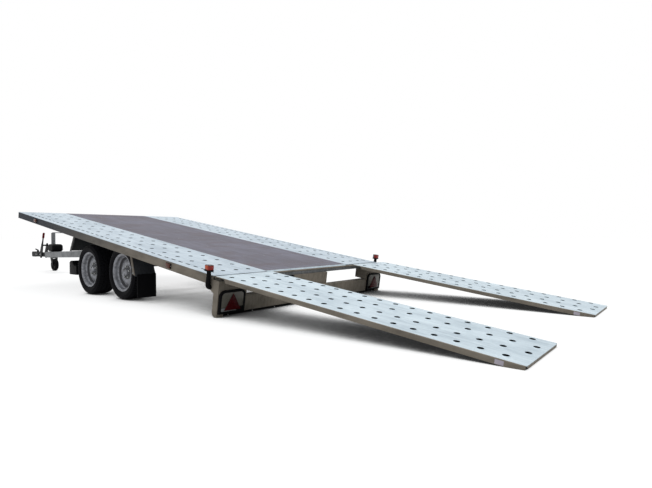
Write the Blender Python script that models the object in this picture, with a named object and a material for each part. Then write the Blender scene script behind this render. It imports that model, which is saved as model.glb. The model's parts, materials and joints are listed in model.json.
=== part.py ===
"""Tilting-bed car trailer with two axles, laid out for loading.

The bed is tipped about a cross shaft until its rear bar stands on the ground, and two
perforated ramps are hooked on behind it. Metres, +Z up, the drawbar points to -Y and the
left side is +X. Pieces are placed from the ground below the middle of the axles, and the
whole is then moved so that the origin is the middle of its footprint.
"""
import math

import bmesh
import bpy
from mathutils import Matrix, Vector

# Clearances between pieces
SEAT = 0.0003
PIN_CLEARANCE = 0.0005

# Deck
DECK_LENGTH = 4.06
DECK_WIDTH = 2.10
BOARD_WIDTH = 1.05
BOARD_THICKNESS = 0.018
SHEET = 0.003
RAIL_HEIGHT = 0.075
RAIL_FLANGE = 0.036
RAIL_WALL = 0.004
FRAME_DEPTH = 0.050
BEAM_WIDTH = 0.050

# Tilting
HINGE_Y = -0.20
HINGE_Z = 0.50
DECK_ABOVE_HINGE = 0.1324
REAR_OVERHANG = 2.1186
SHAFT_RADIUS = 0.025
LUG_RADIUS = 0.048
LUG_THICKNESS = 0.012

# Rear bumper, behind the deck and measured down from it
BUMPER_BEHIND = 0.0764
BUMPER_DROP = 0.3119
BUMPER_DEPTH = 0.060
POST_TOP_DROP = 0.032
GUSSET_LENGTH = 0.070
GUSSET_DEPTH = 0.060
SLOT_OUTER = 0.788
UPRIGHT_WIDTH = 0.060
UPRIGHT_CORNER = 0.030
BAR_TOP_DROP = 0.162
BAR_FACE = 0.125
BAR_STEP = 0.022
CENTRE_PLATE_HALF = 0.220
CENTRE_PLATE_LAP = 0.060

# Lamps
LAMP_WIDTH = 0.238
LAMP_HEIGHT = 0.184
LAMP_DEPTH = 0.018
LAMP_TOP_DROP = 0.102
LAMP_INSET = 0.006
LAMP_CORNER = 0.050
TRIANGLE_SIDE = 0.150
TRIANGLE_THICKNESS = 0.006
STALK_RADIUS = 0.019
STALK_OUT = 0.060
STALK_BEND = 0.030
MARKER_SIZE = 0.052
MARKER_HEIGHT = 0.046
MARKER_RISE = 0.034
MARKER_SETBACK = 0.103
MARKER_DROP = 0.095
STALK_SIDES = 8
SIDE_MARKER_LENGTH = 0.078
SIDE_MARKER_HEIGHT = 0.044
SIDE_MARKER_DEPTH = 0.014
SIDE_MARKER_FRONT = -1.37
SIDE_MARKER_REAR = 1.505

# Ramps
RAMP_LENGTH = 2.385
RAMP_WIDTH = 0.560
RAMP_DEPTH = 0.032
RAMP_LEFT_X = 0.771
RAMP_RIGHT_X = -0.879
RAMP_TIP_TAPER = 0.10
RAMP_START = 0.004
FLANGE_START = 0.130
RIB_WIDTH = 0.025
RIB_DEPTH = 0.026
RIB_PLACES = (0, 8, 16, 24, 31)
RUNNER_X = 0.110
RUNNER_WIDTH = 0.030
RUNNER_DEPTH = 0.020

# Holes in the ramps: four rows, the outer two half a pitch behind the inner two
HOLE_RADIUS = 0.019
HOLE_PITCH = 0.1347
HOLE_FIRST = 0.103
HOLE_TO_TIP = 0.050
HOLE_SIDES = 6
OUTER_ROWS = (0.204, -0.225)
INNER_ROWS = (0.061, -0.082)

# Rod and hooks that carry the ramps
ROD_RADIUS = 0.008
ROD_STANDOFF = 0.020
ROD_INSET = 0.005
ROD_SIDES = 10
HOOK_WIDTH = 0.070
HOOK_SPACING = 0.240
HOOK_ROOT = 0.030
ROD_LUG_WIDTH = 0.020
ROD_LUG_TOP = 0.002
ROD_LUG_INSETS = (0.11, 0.35, 0.47, 0.75)

# Wheels
TYRE_RADIUS = 0.2625
TYRE_WIDTH = 0.195
WHEEL_X = 0.8905
AXLE_SPACING = 0.70
BEAD_RADIUS = 0.1655
RIM_RADIUS = 0.179
RIM_WIDTH = 0.140
WHEEL_OFFSET = 0.030
DRUM_RADIUS = 0.116
DRUM_INNER = -0.050
STUB_RADIUS = 0.020
WHEEL_SEGMENTS = 16

# Axles
AXLE_TUBE = 0.060
ARM_BACK = 0.130
ARM_RISE = 0.065
ARM_X = 0.735
ARM_THICKNESS = 0.030
BACKPLATE_THICKNESS = 0.005
BACKPLATE_GAP = 0.006

# Chassis
CHASSIS_X = 0.630
CHASSIS_WIDTH = 0.060
CHASSIS_HEIGHT = 0.070
CHASSIS_FRONT = -1.30
CHASSIS_REAR = 0.50
BRACKET_LENGTH = 0.140
BRACKET_THICKNESS = 0.012
BRACKET_RADIUS = 0.042
CHASSIS_MIDDLE = -0.75

# Drawbar
ARM_WIDTH = 0.055
ARM_HEIGHT = 0.085
DRAWBAR_APEX = -4.15
APEX_HALF = 0.032
APEX_Z = 0.285
NOSE_LENGTH = 0.42
NOSE_PLATE = 0.008
HOUSING_REAR = -3.90
HOUSING_FRONT = -4.52
HOUSING_HEIGHT = 0.075
GAITER_LENGTH = 0.100
GAITER_RADIUS = 0.036
COUPLING_LENGTH = 0.260
COUPLING_WIDTH = 0.076
COUPLING_HEIGHT = 0.090
BALL_RADIUS = 0.026
SOCKET_DEPTH = 0.045
SOCKET_SETBACK = 0.050
NECK_LENGTH = 0.100
HANDLE_LENGTH = 0.100
GAITER_FOLDS = 4
GAITER_FOLD_DEPTH = 0.008

# Brake lever
LEVER_PIVOT_Y = -4.47
LEVER_LENGTH = 0.30
LEVER_ROOT = 0.046
LEVER_TIP = 0.015
LEVER_THICKNESS = 0.010
GRIP_RADIUS = 0.016
GRIP_LENGTH = 0.100
LEVER_LEAN = 20.0

# Jockey wheel
JOCKEY_X = -0.125
JOCKEY_Y = -4.40
JOCKEY_WHEEL_RADIUS = 0.105
JOCKEY_WHEEL_WIDTH = 0.055
JOCKEY_TRAIL = 0.045
JOCKEY_TUBE_RADIUS = 0.030
JOCKEY_TUBE_WALL = 0.004
JOCKEY_TUBE_LENGTH = 0.36
JOCKEY_TUBE_TOP = 0.66
JOCKEY_LEG_RADIUS = 0.0252
JOCKEY_LIFT = 0.040
JOCKEY_CLAMP_LOW = -0.006
JOCKEY_CLAMP_HIGH = 0.050
FORK_THICKNESS = 0.006

# Hand pump
PUMP_LENGTH = 0.240
PUMP_WIDTH = 0.160
PUMP_HEIGHT = 0.128
PUMP_Y = -3.97

# Tilt cylinder
CYLINDER_Y = -1.36
CYLINDER_Z = 0.300
CYLINDER_BARREL = 0.300
CYLINDER_RADIUS = 0.034
CYLINDER_ROD = 0.016
EYE_Y = -1.56
EYE_BELOW_DECK = 0.095
EYE_RADIUS = 0.030
EYE_FACE = 0.0185
LUG_EYE_RADIUS = 0.026
CYLINDER_STROKE = 0.1348

# Mudguards
GUARD_CLEARANCE = 0.024
GUARD_WIDTH = 0.190
GUARD_THICKNESS = 0.004
GUARD_LIP = 0.034
FLAP_INSET = 0.010
FLAP_WIDTH = 0.176
FLAP_THICKNESS = 0.006
FLAP_HEIGHT = 0.200
STRUT_WIDTH = 0.038
STRUT_THICKNESS = 0.004
STRUT_LAP = 0.001

GUARD_SPREAD = 0.65
GUARD_TOP_DROP = 0.020
GUARD_HEIGHT = 0.235
GUARD_STRAIGHT = 0.25
GUARD_FLARE = 0.090
FLAP_LAP = 0.020
STRUT_AHEAD = 0.063
STRUT_RUN = 0.076
STRUT_DROP = 0.172

# Wheel chock
CHOCK_LENGTH = 0.190
CHOCK_HEIGHT = 0.165
CHOCK_WIDTH = 0.130
CHOCK_Y = -1.215

# Worked out from the sizes above
BUMPER_BELOW_HINGE = BUMPER_DROP - DECK_ABOVE_HINGE
BUMPER_REAR = REAR_OVERHANG + BUMPER_BEHIND
TILT = (math.asin(HINGE_Z / math.hypot(BUMPER_REAR, BUMPER_BELOW_HINGE))
        - math.atan2(BUMPER_BELOW_HINGE, BUMPER_REAR))
DECK = DECK_ABOVE_HINGE
FRONT = REAR_OVERHANG - DECK_LENGTH
REAR = REAR_OVERHANG
HALF = DECK_WIDTH / 2
AXLE_Z = TYRE_RADIUS
GUARD_OUTER = WHEEL_X + TYRE_WIDTH / 2 + GUARD_CLEARANCE
CHASSIS_BOTTOM = AXLE_Z + ARM_RISE + AXLE_TUBE / 2 + SEAT
CHASSIS_TOP = CHASSIS_BOTTOM + CHASSIS_HEIGHT
ROD_Z = DECK - ROD_RADIUS - PIN_CLEARANCE - SHEET
ROD_Y = REAR + ROD_STANDOFF
PLATE_TOP = DECK - ROD_Z


def bed_to_ground(y, z):
    """Where a point of the bed lies at rest, in the trailer's own frame."""
    return (HINGE_Y + y * math.cos(TILT) + z * math.sin(TILT),
            HINGE_Z - y * math.sin(TILT) + z * math.cos(TILT))


WHEELS_MIDDLE = -HINGE_Y
GUARD_MEMBER = WHEELS_MIDDLE + GUARD_SPREAD
INNER_MEMBERS = (EYE_Y, 0.30)
FULL_MEMBERS = (FRONT + BEAM_WIDTH / 2, -1.05, WHEELS_MIDDLE - GUARD_SPREAD, GUARD_MEMBER,
                1.45, REAR - BEAM_WIDTH / 2)
ROD_GROUND = bed_to_ground(ROD_Y, ROD_Z)
TOUCH_DEPTH = RAMP_DEPTH - PLATE_TOP
TOUCH_LENGTH = RAMP_LENGTH - RAMP_TIP_TAPER
RAMP_SLOPE = (math.asin(ROD_GROUND[1] / math.hypot(TOUCH_LENGTH, TOUCH_DEPTH))
              - math.atan2(TOUCH_DEPTH, TOUCH_LENGTH))
TIP_LIP = (PLATE_TOP - SEAT
           + (ROD_GROUND[1] - RAMP_LENGTH * math.sin(RAMP_SLOPE)) / math.cos(RAMP_SLOPE))
COUPLING_FRONT = HOUSING_FRONT - GAITER_LENGTH - COUPLING_LENGTH


def clear_scene():
    for item in list(bpy.data.objects):
        bpy.data.objects.remove(item, do_unlink=True)


def material(name, colour, roughness, metallic=0.0):
    made = bpy.data.materials.new(name)
    made.use_nodes = True
    shader = made.node_tree.nodes["Principled BSDF"]
    shader.inputs["Base Color"].default_value = (*colour, 1.0)
    shader.inputs["Roughness"].default_value = roughness
    shader.inputs["Metallic"].default_value = metallic
    return made


def empty(name, location, parent=None, turn=0.0):
    made = bpy.data.objects.new(name, None)
    made.location = location
    made.rotation_euler = (turn, 0.0, 0.0)
    made.parent = parent
    bpy.context.scene.collection.objects.link(made)
    return made


def put(name, mesh_bm, finish, parent, location=(0, 0, 0), smooth=False):
    bmesh.ops.recalc_face_normals(mesh_bm, faces=mesh_bm.faces[:])
    mesh = bpy.data.meshes.new(name)
    mesh_bm.to_mesh(mesh)
    mesh_bm.free()
    if smooth:
        mesh.shade_smooth()
        mesh.set_sharp_from_angle(angle=math.radians(35))
    made = bpy.data.objects.new(name, mesh)
    made.location = location
    made.parent = parent
    if finish:
        mesh.materials.append(finish)
    bpy.context.scene.collection.objects.link(made)
    return made


def box(low, high):
    made = bmesh.new()
    bmesh.ops.create_cube(made, size=1.0)
    for vert in made.verts:
        vert.co = Vector([low[i] + (vert.co[i] + 0.5) * (high[i] - low[i]) for i in range(3)])
    return made


def drawn(outline, axis, start, stop):
    """A flat outline drawn along one axis; its points hold the other two coordinates."""
    made = bmesh.new()
    base = []
    for point in outline:
        place = list(point)
        place.insert(axis, start)
        base.append(made.verts.new(place))
    face = made.faces.new(base)
    grown = bmesh.ops.extrude_face_region(made, geom=[face])
    far = [item for item in grown["geom"] if isinstance(item, bmesh.types.BMVert)]
    reach = [0.0, 0.0, 0.0]
    reach[axis] = stop - start
    bmesh.ops.translate(made, verts=far, vec=reach)
    return made


def prism(outline, x0, x1):
    """An outline in Y and Z, drawn along X."""
    return drawn(outline, 0, x0, x1)


def turned(profile, segments, axis="X"):
    """A closed profile of (along the axis, radius) points, spun about the axis."""
    made = bmesh.new()
    points = [made.verts.new((along, 0.0, radius)) for along, radius in profile]
    pairs = list(zip(points, points[1:] + points[:1]))
    edges = [made.edges.new(pair) for pair in pairs
             if pair[0].co.z > 0 or pair[1].co.z > 0]
    bmesh.ops.spin(made, geom=points + edges, cent=(0, 0, 0), axis=(1, 0, 0),
                   angle=math.tau, steps=segments, use_merge=True)
    bmesh.ops.remove_doubles(made, verts=made.verts[:], dist=0.00002)
    if axis == "Z":
        bmesh.ops.rotate(made, verts=made.verts[:], cent=(0, 0, 0),
                         matrix=Matrix.Rotation(-math.pi / 2, 3, "Y"))
    if axis == "Y":
        bmesh.ops.rotate(made, verts=made.verts[:], cent=(0, 0, 0),
                         matrix=Matrix.Rotation(math.pi / 2, 3, "Z"))
    return made


def rod(length_from, length_to, radius, segments=16, axis="X"):
    return turned([(length_from, 0.0), (length_from, radius),
                   (length_to, radius), (length_to, 0.0)], segments, axis)


def arc(centre, radius, start, stop, steps):
    """Points on an arc in Y and Z, its angles in degrees from +Y towards +Z."""
    made = []
    for i in range(steps + 1):
        turn = math.radians(start + (stop - start) * i / steps)
        made.append((centre[0] + radius * math.cos(turn), centre[1] + radius * math.sin(turn)))
    return made


def moved(mesh_bm, by):
    bmesh.ops.translate(mesh_bm, verts=mesh_bm.verts[:], vec=by)
    return mesh_bm


def combine(target, kind, shapes, parent):
    """Boolean each shape into the target with its own hidden tool object."""
    for index, shape in enumerate(shapes):
        tool = put(f"{target.name}_tool_{kind.lower()}_{index}", shape, None, parent)
        tool.location = target.location
        tool.hide_render = True
        tool.display_type = "WIRE"
        step = target.modifiers.new(f"{kind.title()} {index}", "BOOLEAN")
        step.operation = kind
        step.solver = "EXACT"
        step.object = tool
    return target


def rounded(target, width, segments=2, angle=40):
    bevel = target.modifiers.new("Bevel", "BEVEL")
    bevel.width = width
    bevel.segments = segments
    bevel.limit_method = "ANGLE"
    bevel.angle_limit = math.radians(angle)
    return target


def make_deck(bed, finish):
    deck_y = (FRONT, REAR)
    board_half = BOARD_WIDTH / 2
    put("deck_board", box((-board_half, deck_y[0], DECK - BOARD_THICKNESS),
                          (board_half, deck_y[1], DECK)), finish["board"], bed)
    for side, sign in (("left", 1), ("right", -1)):
        edges = sorted((sign * (board_half + SEAT), sign * HALF))
        put(f"runway_{side}", box((edges[0], deck_y[0], DECK - SHEET),
                                  (edges[1], deck_y[1], DECK)), finish["galvanised"], bed)
        make_side_rail(side, sign, bed, finish)
    make_bed_frame(bed, finish)


def make_side_rail(side, sign, bed, finish):
    """A folded channel, open towards the middle of the bed."""
    top = DECK - SHEET - SEAT
    bottom = DECK - RAIL_HEIGHT
    inner = HALF - RAIL_FLANGE
    web = HALF - RAIL_WALL
    outline = [(HALF, top), (HALF, bottom), (inner, bottom), (inner, bottom + RAIL_WALL),
               (web, bottom + RAIL_WALL), (web, top - RAIL_WALL), (inner, top - RAIL_WALL),
               (inner, top)]
    channel = drawn([(sign * x, z) for x, z in outline], 1, FRONT, REAR)
    put(f"side_rail_{side}", channel, finish["galvanised"], bed)
    for end, y in (("front", SIDE_MARKER_FRONT), ("rear", SIDE_MARKER_REAR)):
        faces = sorted((sign * (HALF + SEAT), sign * (HALF + SIDE_MARKER_DEPTH)))
        middle = DECK - RAIL_HEIGHT / 2
        lamp = box((faces[0], y - SIDE_MARKER_LENGTH / 2, middle - SIDE_MARKER_HEIGHT / 2),
                   (faces[1], y + SIDE_MARKER_LENGTH / 2, middle + SIDE_MARKER_HEIGHT / 2))
        rounded(put(f"side_marker_{side}_{end}", lamp, finish["amber"], bed), 0.003, 1)


def make_bed_frame(bed, finish):
    """Two long beams with cross members, and the lugs that turn on the cross shaft."""
    under_board = DECK - BOARD_THICKNESS - SEAT
    under_sheet = DECK - SHEET - SEAT
    bottom = under_sheet - FRAME_DEPTH
    beam_outer = BOARD_WIDTH / 2 + BEAM_WIDTH / 2
    beam_inner = beam_outer - BEAM_WIDTH
    lap = 0.01
    reach = HALF - RAIL_FLANGE - SEAT
    frame = put("bed_frame", box((beam_inner, FRONT, bottom), (beam_outer, REAR, under_board)),
                finish["galvanised"], bed)
    shapes = [box((-beam_outer, FRONT, bottom), (-beam_inner, REAR, under_board))]
    for y in INNER_MEMBERS + FULL_MEMBERS:
        shapes.append(box((-beam_inner - lap, y - BEAM_WIDTH / 2, bottom),
                          (beam_inner + lap, y + BEAM_WIDTH / 2, under_board)))
    for y in FULL_MEMBERS:
        for sign in (1, -1):
            ends = sorted((sign * (beam_outer - lap), sign * reach))
            shapes.append(box((ends[0], y - BEAM_WIDTH / 2, bottom),
                              (ends[1], y + BEAM_WIDTH / 2, under_sheet)))
    for sign in (1, -1):
        ends = sorted((sign * (beam_outer - LUG_THICKNESS), sign * beam_outer))
        lug = [(-0.085, bottom + lap), (0.085, bottom + lap)]
        lug += arc((0, 0), LUG_RADIUS, 0, -180, 10)
        shapes.append(prism(lug, *ends))
        ends = sorted((sign * EYE_FACE, sign * (EYE_FACE + LUG_THICKNESS)))
        eye_lug = [(EYE_Y - BEAM_WIDTH / 2, bottom + lap), (EYE_Y + BEAM_WIDTH / 2, bottom + lap)]
        eye_lug += arc((EYE_Y, DECK - EYE_BELOW_DECK), BEAM_WIDTH / 2, 0, -180, 8)
        shapes.append(prism(eye_lug, *ends))
    combine(frame, "UNION", shapes, bed)
    bore = rod(-beam_outer - lap, beam_outer + lap, SHAFT_RADIUS + PIN_CLEARANCE, 16)
    combine(frame, "DIFFERENCE", [bore], bed)


def make_bumper(bed, finish):
    """The bar that stands on the ground behind the deck, its posts and the ramps' slots."""
    front = BUMPER_REAR - BUMPER_DEPTH
    low = DECK - BUMPER_DROP
    bar_top = DECK - BAR_TOP_DROP
    step = bar_top - BAR_FACE
    foot = low + 0.002
    outline = [(BUMPER_REAR, bar_top), (BUMPER_REAR, step), (BUMPER_REAR - BAR_STEP, step - 0.008),
               (BUMPER_REAR - BAR_STEP, foot), (front, foot), (front, bar_top)]
    bumper = put("rear_bumper", prism(outline, -HALF + 0.01, HALF - 0.01),
                 finish["galvanised"], bed)
    under_rail = DECK - RAIL_HEIGHT - SEAT
    post_top = DECK - POST_TOP_DROP
    gusset = REAR - GUSSET_LENGTH
    post = [(BUMPER_REAR, post_top), (BUMPER_REAR, low)]
    post += arc((front + UPRIGHT_CORNER, low + UPRIGHT_CORNER), UPRIGHT_CORNER, -90, -180, 5)
    post += [(front, under_rail - GUSSET_DEPTH), (gusset, under_rail - GUSSET_DEPTH / 3),
             (gusset, under_rail), (REAR + SEAT, under_rail), (REAR + SEAT, post_top)]
    under_frame = DECK - SHEET - FRAME_DEPTH - 2 * SEAT
    shapes = []
    for sign in (1, -1):
        shapes.append(prism(post, *sorted((sign * (HALF - UPRIGHT_WIDTH), sign * HALF))))
        ends = sorted((sign * SLOT_OUTER, sign * (HALF - UPRIGHT_WIDTH / 2)))
        shapes.append(box((ends[0], BUMPER_REAR - RAIL_WALL, bar_top - 0.01),
                          (ends[1], BUMPER_REAR, post_top)))
        ends = sorted((sign * SLOT_OUTER, sign * (SLOT_OUTER + RAIL_WALL)))
        shapes.append(box((ends[0], gusset, bar_top), (ends[1], front + 0.01, under_frame)))
        shapes.append(box((ends[0], front, bar_top - 0.01),
                          (ends[1], BUMPER_REAR - RAIL_WALL / 2, under_frame)))
    half = CENTRE_PLATE_HALF
    shapes.append(box((-half, front, bar_top - 0.01), (half, front + RAIL_WALL, under_frame)))
    shapes.append(box((-half, front - CENTRE_PLATE_LAP, under_frame - RAIL_WALL),
                      (half, front + RAIL_WALL / 2, under_frame)))
    combine(bumper, "UNION", shapes, bed)


def make_lamps(bed, finish):
    top = DECK - LAMP_TOP_DROP
    bottom = top - LAMP_HEIGHT
    middle_z = (top + bottom) / 2
    for side, sign in (("left", 1), ("right", -1)):
        centre = sign * (HALF - LAMP_INSET - LAMP_WIDTH / 2)
        half = LAMP_WIDTH / 2
        outline = arc((centre + half - LAMP_CORNER, top - LAMP_CORNER), LAMP_CORNER, 0, 90, 5)
        outline += arc((centre - half + LAMP_CORNER, top - LAMP_CORNER), LAMP_CORNER, 90, 180, 5)
        outline += [(centre - half, bottom), (centre + half, bottom)]
        lamp = drawn(outline, 1, BUMPER_REAR + SEAT, BUMPER_REAR + LAMP_DEPTH)
        rounded(put(f"tail_lamp_{side}", lamp, finish["lens"], bed), 0.004, 1)
        height = TRIANGLE_SIDE * math.sqrt(3) / 2
        corners = [(centre - TRIANGLE_SIDE / 2, middle_z - height / 2),
                   (centre + TRIANGLE_SIDE / 2, middle_z - height / 2),
                   (centre, middle_z + height / 2)]
        face = BUMPER_REAR + LAMP_DEPTH + SEAT
        triangle = drawn(corners, 1, face, face + TRIANGLE_THICKNESS)
        put(f"triangle_reflector_{side}", triangle, finish["red"], bed)
        make_marker(side, sign, bed, finish)


def make_marker(side, sign, bed, finish):
    """A rubber arm that leaves the upright sideways, turns up and carries an outline lamp."""
    base = Vector((HALF + SEAT, BUMPER_REAR - MARKER_SETBACK, DECK - MARKER_DROP))
    path = [base]
    for i in range(5):
        turn = math.radians(90 * i / 4)
        reach = STALK_OUT - STALK_BEND + STALK_BEND * math.sin(turn)
        path.append(base + Vector((reach, 0, STALK_BEND * (1 - math.cos(turn)))))
    head_low = DECK + MARKER_RISE
    path.append(Vector((path[-1].x, base.y, head_low - SEAT)))
    stalk = bmesh.new()
    rings = []
    for i, here in enumerate(path):
        lean = math.radians(90 * min(max(i - 1, 0), 4) / 4)
        across = Vector((-math.sin(lean), 0, math.cos(lean)))
        ring = []
        for k in range(STALK_SIDES):
            turn = math.tau * k / STALK_SIDES
            point = here + across * STALK_RADIUS * math.cos(turn)
            point = point + Vector((0, 1, 0)) * STALK_RADIUS * math.sin(turn)
            ring.append(stalk.verts.new((sign * point.x, point.y, point.z)))
        rings.append(ring)
    for low, high in zip(rings, rings[1:]):
        for k in range(STALK_SIDES):
            following = (k + 1) % STALK_SIDES
            stalk.faces.new((low[k], low[following], high[following], high[k]))
    stalk.faces.new(rings[0])
    stalk.faces.new(rings[-1])
    marker = put(f"marker_lamp_{side}", stalk, finish["rubber"], bed)
    centre = sign * path[-1].x
    half = MARKER_SIZE / 2
    head = box((centre - half, base.y - half, head_low - 0.004),
               (centre + half, base.y + half, head_low + MARKER_HEIGHT))
    bmesh.ops.bevel(head, geom=head.edges[:], offset=0.008, segments=1, affect="EDGES")
    combine(marker, "UNION", [head], bed)


def guard_route(mirror):
    """The front face of a mudguard panel from the cross member down, as (y, z) points."""
    top = DECK - GUARD_TOP_DROP
    points = []
    for i in range(11):
        share = i / 10
        flare = max(0.0, (share - GUARD_STRAIGHT) / (1 - GUARD_STRAIGHT)) ** 1.4
        y = GUARD_MEMBER - BEAM_WIDTH / 2 - SEAT - GUARD_THICKNESS + GUARD_FLARE * flare
        points.append((y, top - GUARD_HEIGHT * share))
    if mirror:
        return [(2 * WHEELS_MIDDLE - y, z) for y, z in points]
    return points


def make_mudguards(bed, finish):
    """Quarter panels ahead of and behind the wheels, each with a lip and a flat-bar strut."""
    for side, sign in (("left", 1), ("right", -1)):
        for end, mirror in (("front", True), ("rear", False)):
            route = guard_route(mirror)
            flip = -1 if mirror else 1
            back = [(y + flip * GUARD_THICKNESS, z) for y, z in route]
            ends = sorted((sign * (GUARD_OUTER - GUARD_WIDTH), sign * GUARD_OUTER))
            panel = prism(route + back[::-1], *ends)
            guard = put(f"mudguard_{side}_{end}", panel, finish["guard"], bed)
            edge = [(y - flip * GUARD_LIP, z) for y, z in route]
            ends = sorted((sign * (GUARD_OUTER - GUARD_THICKNESS), sign * GUARD_OUTER))
            inside = [(y + flip * GUARD_THICKNESS / 2, z) for y, z in route]
            lip = prism(edge + inside[::-1], *ends)
            combine(guard, "UNION", [lip, strut_shape(sign, mirror)], bed)
        make_flap(side, sign, bed, finish)


def strut_shape(sign, mirror):
    """The flat bar from the side rail down to the lip of a mudguard."""
    high_z = DECK - RAIL_HEIGHT - SEAT
    high_y = GUARD_MEMBER - STRUT_AHEAD
    low_y = high_y + STRUT_RUN
    low_z = high_z - STRUT_DROP
    outline = [(high_y, high_z), (high_y + STRUT_WIDTH, high_z), (low_y + STRUT_WIDTH, low_z),
               (low_y, low_z)]
    if mirror:
        outline = [(2 * WHEELS_MIDDLE - y, z) for y, z in outline]
    inner = GUARD_OUTER - STRUT_LAP
    return prism(outline, *sorted((sign * inner, sign * (GUARD_OUTER + STRUT_THICKNESS))))


def make_flap(side, sign, bed, finish):
    """A rubber flap that hangs straight down behind the rear panel."""
    y, z = guard_route(False)[-1]
    front = y + GUARD_THICKNESS + SEAT
    drop = Vector((math.sin(TILT), -math.cos(TILT))) * FLAP_HEIGHT
    top = z + FLAP_LAP
    shift = -math.tan(TILT) * FLAP_LAP
    outline = [(front + shift, top), (front + shift + FLAP_THICKNESS, top),
               (front + drop.x + FLAP_THICKNESS, z + drop.y), (front + drop.x, z + drop.y)]
    edge = GUARD_OUTER - FLAP_INSET
    ends = sorted((sign * (edge - FLAP_WIDTH), sign * edge))
    put(f"mudflap_{side}", prism(outline, *ends), finish["rubber"], bed)


def make_hook_rod(bed, finish):
    end = HALF - ROD_INSET
    bar = put("ramp_hook_rod", moved(rod(-end, end, ROD_RADIUS, ROD_SIDES), (0, ROD_Y, ROD_Z)),
              finish["galvanised"], bed)
    places = [0.0]
    for inset in ROD_LUG_INSETS:
        places += [HALF - inset, inset - HALF]
    shapes = []
    for x in places:
        shapes.append(box((x - ROD_LUG_WIDTH / 2, REAR + SEAT, ROD_Z - ROD_RADIUS + 0.001),
                          (x + ROD_LUG_WIDTH / 2, ROD_Y, ROD_Z + ROD_LUG_TOP)))
    combine(bar, "UNION", shapes, bed)


HOLES_IN_ROW = 1 + int((RAMP_LENGTH - HOLE_TO_TIP - HOLE_FIRST - HOLE_PITCH / 2) / HOLE_PITCH)


def hole_cutter():
    """All the holes of a ramp as one tool: a hexagonal plug for each."""
    plugs = bmesh.new()
    for rows, shift in ((OUTER_ROWS, 0.0), (INNER_ROWS, HOLE_PITCH / 2)):
        for x in rows:
            for i in range(HOLES_IN_ROW):
                place = (x, HOLE_FIRST + shift + HOLE_PITCH * i, PLATE_TOP)
                bmesh.ops.create_cone(plugs, cap_ends=True, segments=HOLE_SIDES,
                                      radius1=HOLE_RADIUS, radius2=HOLE_RADIUS,
                                      depth=4 * SHEET, matrix=Matrix.Translation(place))
    return plugs


def make_ramp(side, x, bed, finish):
    """A punched tread with side flanges, hooks over the rod, and a ladder of ribs below."""
    hinge = empty(f"ramp_{side}_hinge", (x, ROD_Y, ROD_Z), bed, TILT - RAMP_SLOPE)
    half = RAMP_WIDTH / 2
    low = PLATE_TOP - RAMP_DEPTH
    outline = [(RAMP_START, PLATE_TOP), (RAMP_START, PLATE_TOP - SHEET),
               (FLANGE_START - RAMP_DEPTH / 2, PLATE_TOP - SHEET), (FLANGE_START, low),
               (TOUCH_LENGTH, low), (RAMP_LENGTH, PLATE_TOP - TIP_LIP), (RAMP_LENGTH, PLATE_TOP)]
    tread = put(f"ramp_tread_{side}", prism(outline, -half, half), finish["galvanised"], hinge)
    under = PLATE_TOP - SHEET
    back = -RAMP_DEPTH
    inside = prism([(back, under), (back, 2 * low), (RAMP_LENGTH - SHEET, 2 * low),
                    (RAMP_LENGTH - SHEET, under)], SHEET - half, half - SHEET)
    combine(tread, "DIFFERENCE", [inside], hinge)
    grip = ROD_RADIUS + PIN_CLEARANCE
    skin = 0.0004
    hook = [(HOOK_ROOT, PLATE_TOP - skin)] + arc((0, 0), PLATE_TOP - skin, 90, 240, 8)
    hook += arc((0, 0), grip, 240, 90, 8) + [(HOOK_ROOT, grip + skin)]
    hooks = []
    for centre in (-HOOK_SPACING / 2, HOOK_SPACING / 2):
        hooks.append(prism(hook, centre - HOOK_WIDTH / 2, centre + HOOK_WIDTH / 2))
    combine(tread, "UNION", hooks, hinge)
    combine(tread, "DIFFERENCE", [hole_cutter()], hinge)
    make_ramp_ribs(side, hinge, finish)


def make_ramp_ribs(side, hinge, finish):
    """Cross ribs between the rows of holes, joined by two runners."""
    top = PLATE_TOP - SHEET - SEAT
    reach = RAMP_WIDTH / 2 - SHEET - SEAT
    places = [HOLE_FIRST + HOLE_PITCH / 2 * (i + 0.5) for i in RIB_PLACES]
    runners = []
    for sign in (1, -1):
        ends = sorted((sign * RUNNER_X, sign * (RUNNER_X + RUNNER_WIDTH)))
        runners.append(box((ends[0], places[0], top - RUNNER_DEPTH), (ends[1], places[-1], top)))
    ribs = put(f"ramp_ribs_{side}", runners[0], finish["galvanised"], hinge)
    shapes = [runners[1]]
    for y in places:
        shapes.append(box((-reach, y - RIB_WIDTH / 2, top - RIB_DEPTH),
                          (reach, y + RIB_WIDTH / 2, top)))
    combine(ribs, "UNION", shapes, hinge)


def tyre_profile():
    """Half of the section from the bead over the shoulder, mirrored, then the inside."""
    half = TYRE_WIDTH / 2
    seat = BEAD_RADIUS + SEAT
    outside = [(0.0675, seat), (0.0700, RIM_RADIUS), (0.0930, 0.2000), (half, 0.2250),
               (0.0860, 0.2550), (0.0560, TYRE_RADIUS)]
    inside = [(0.0500, seat), (0.0840, 0.2060), (0.0760, 0.2440)]
    path = outside + [(-x, r) for x, r in outside[::-1]]
    return path + [(-x, r) for x, r in inside] + inside[::-1]


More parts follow.
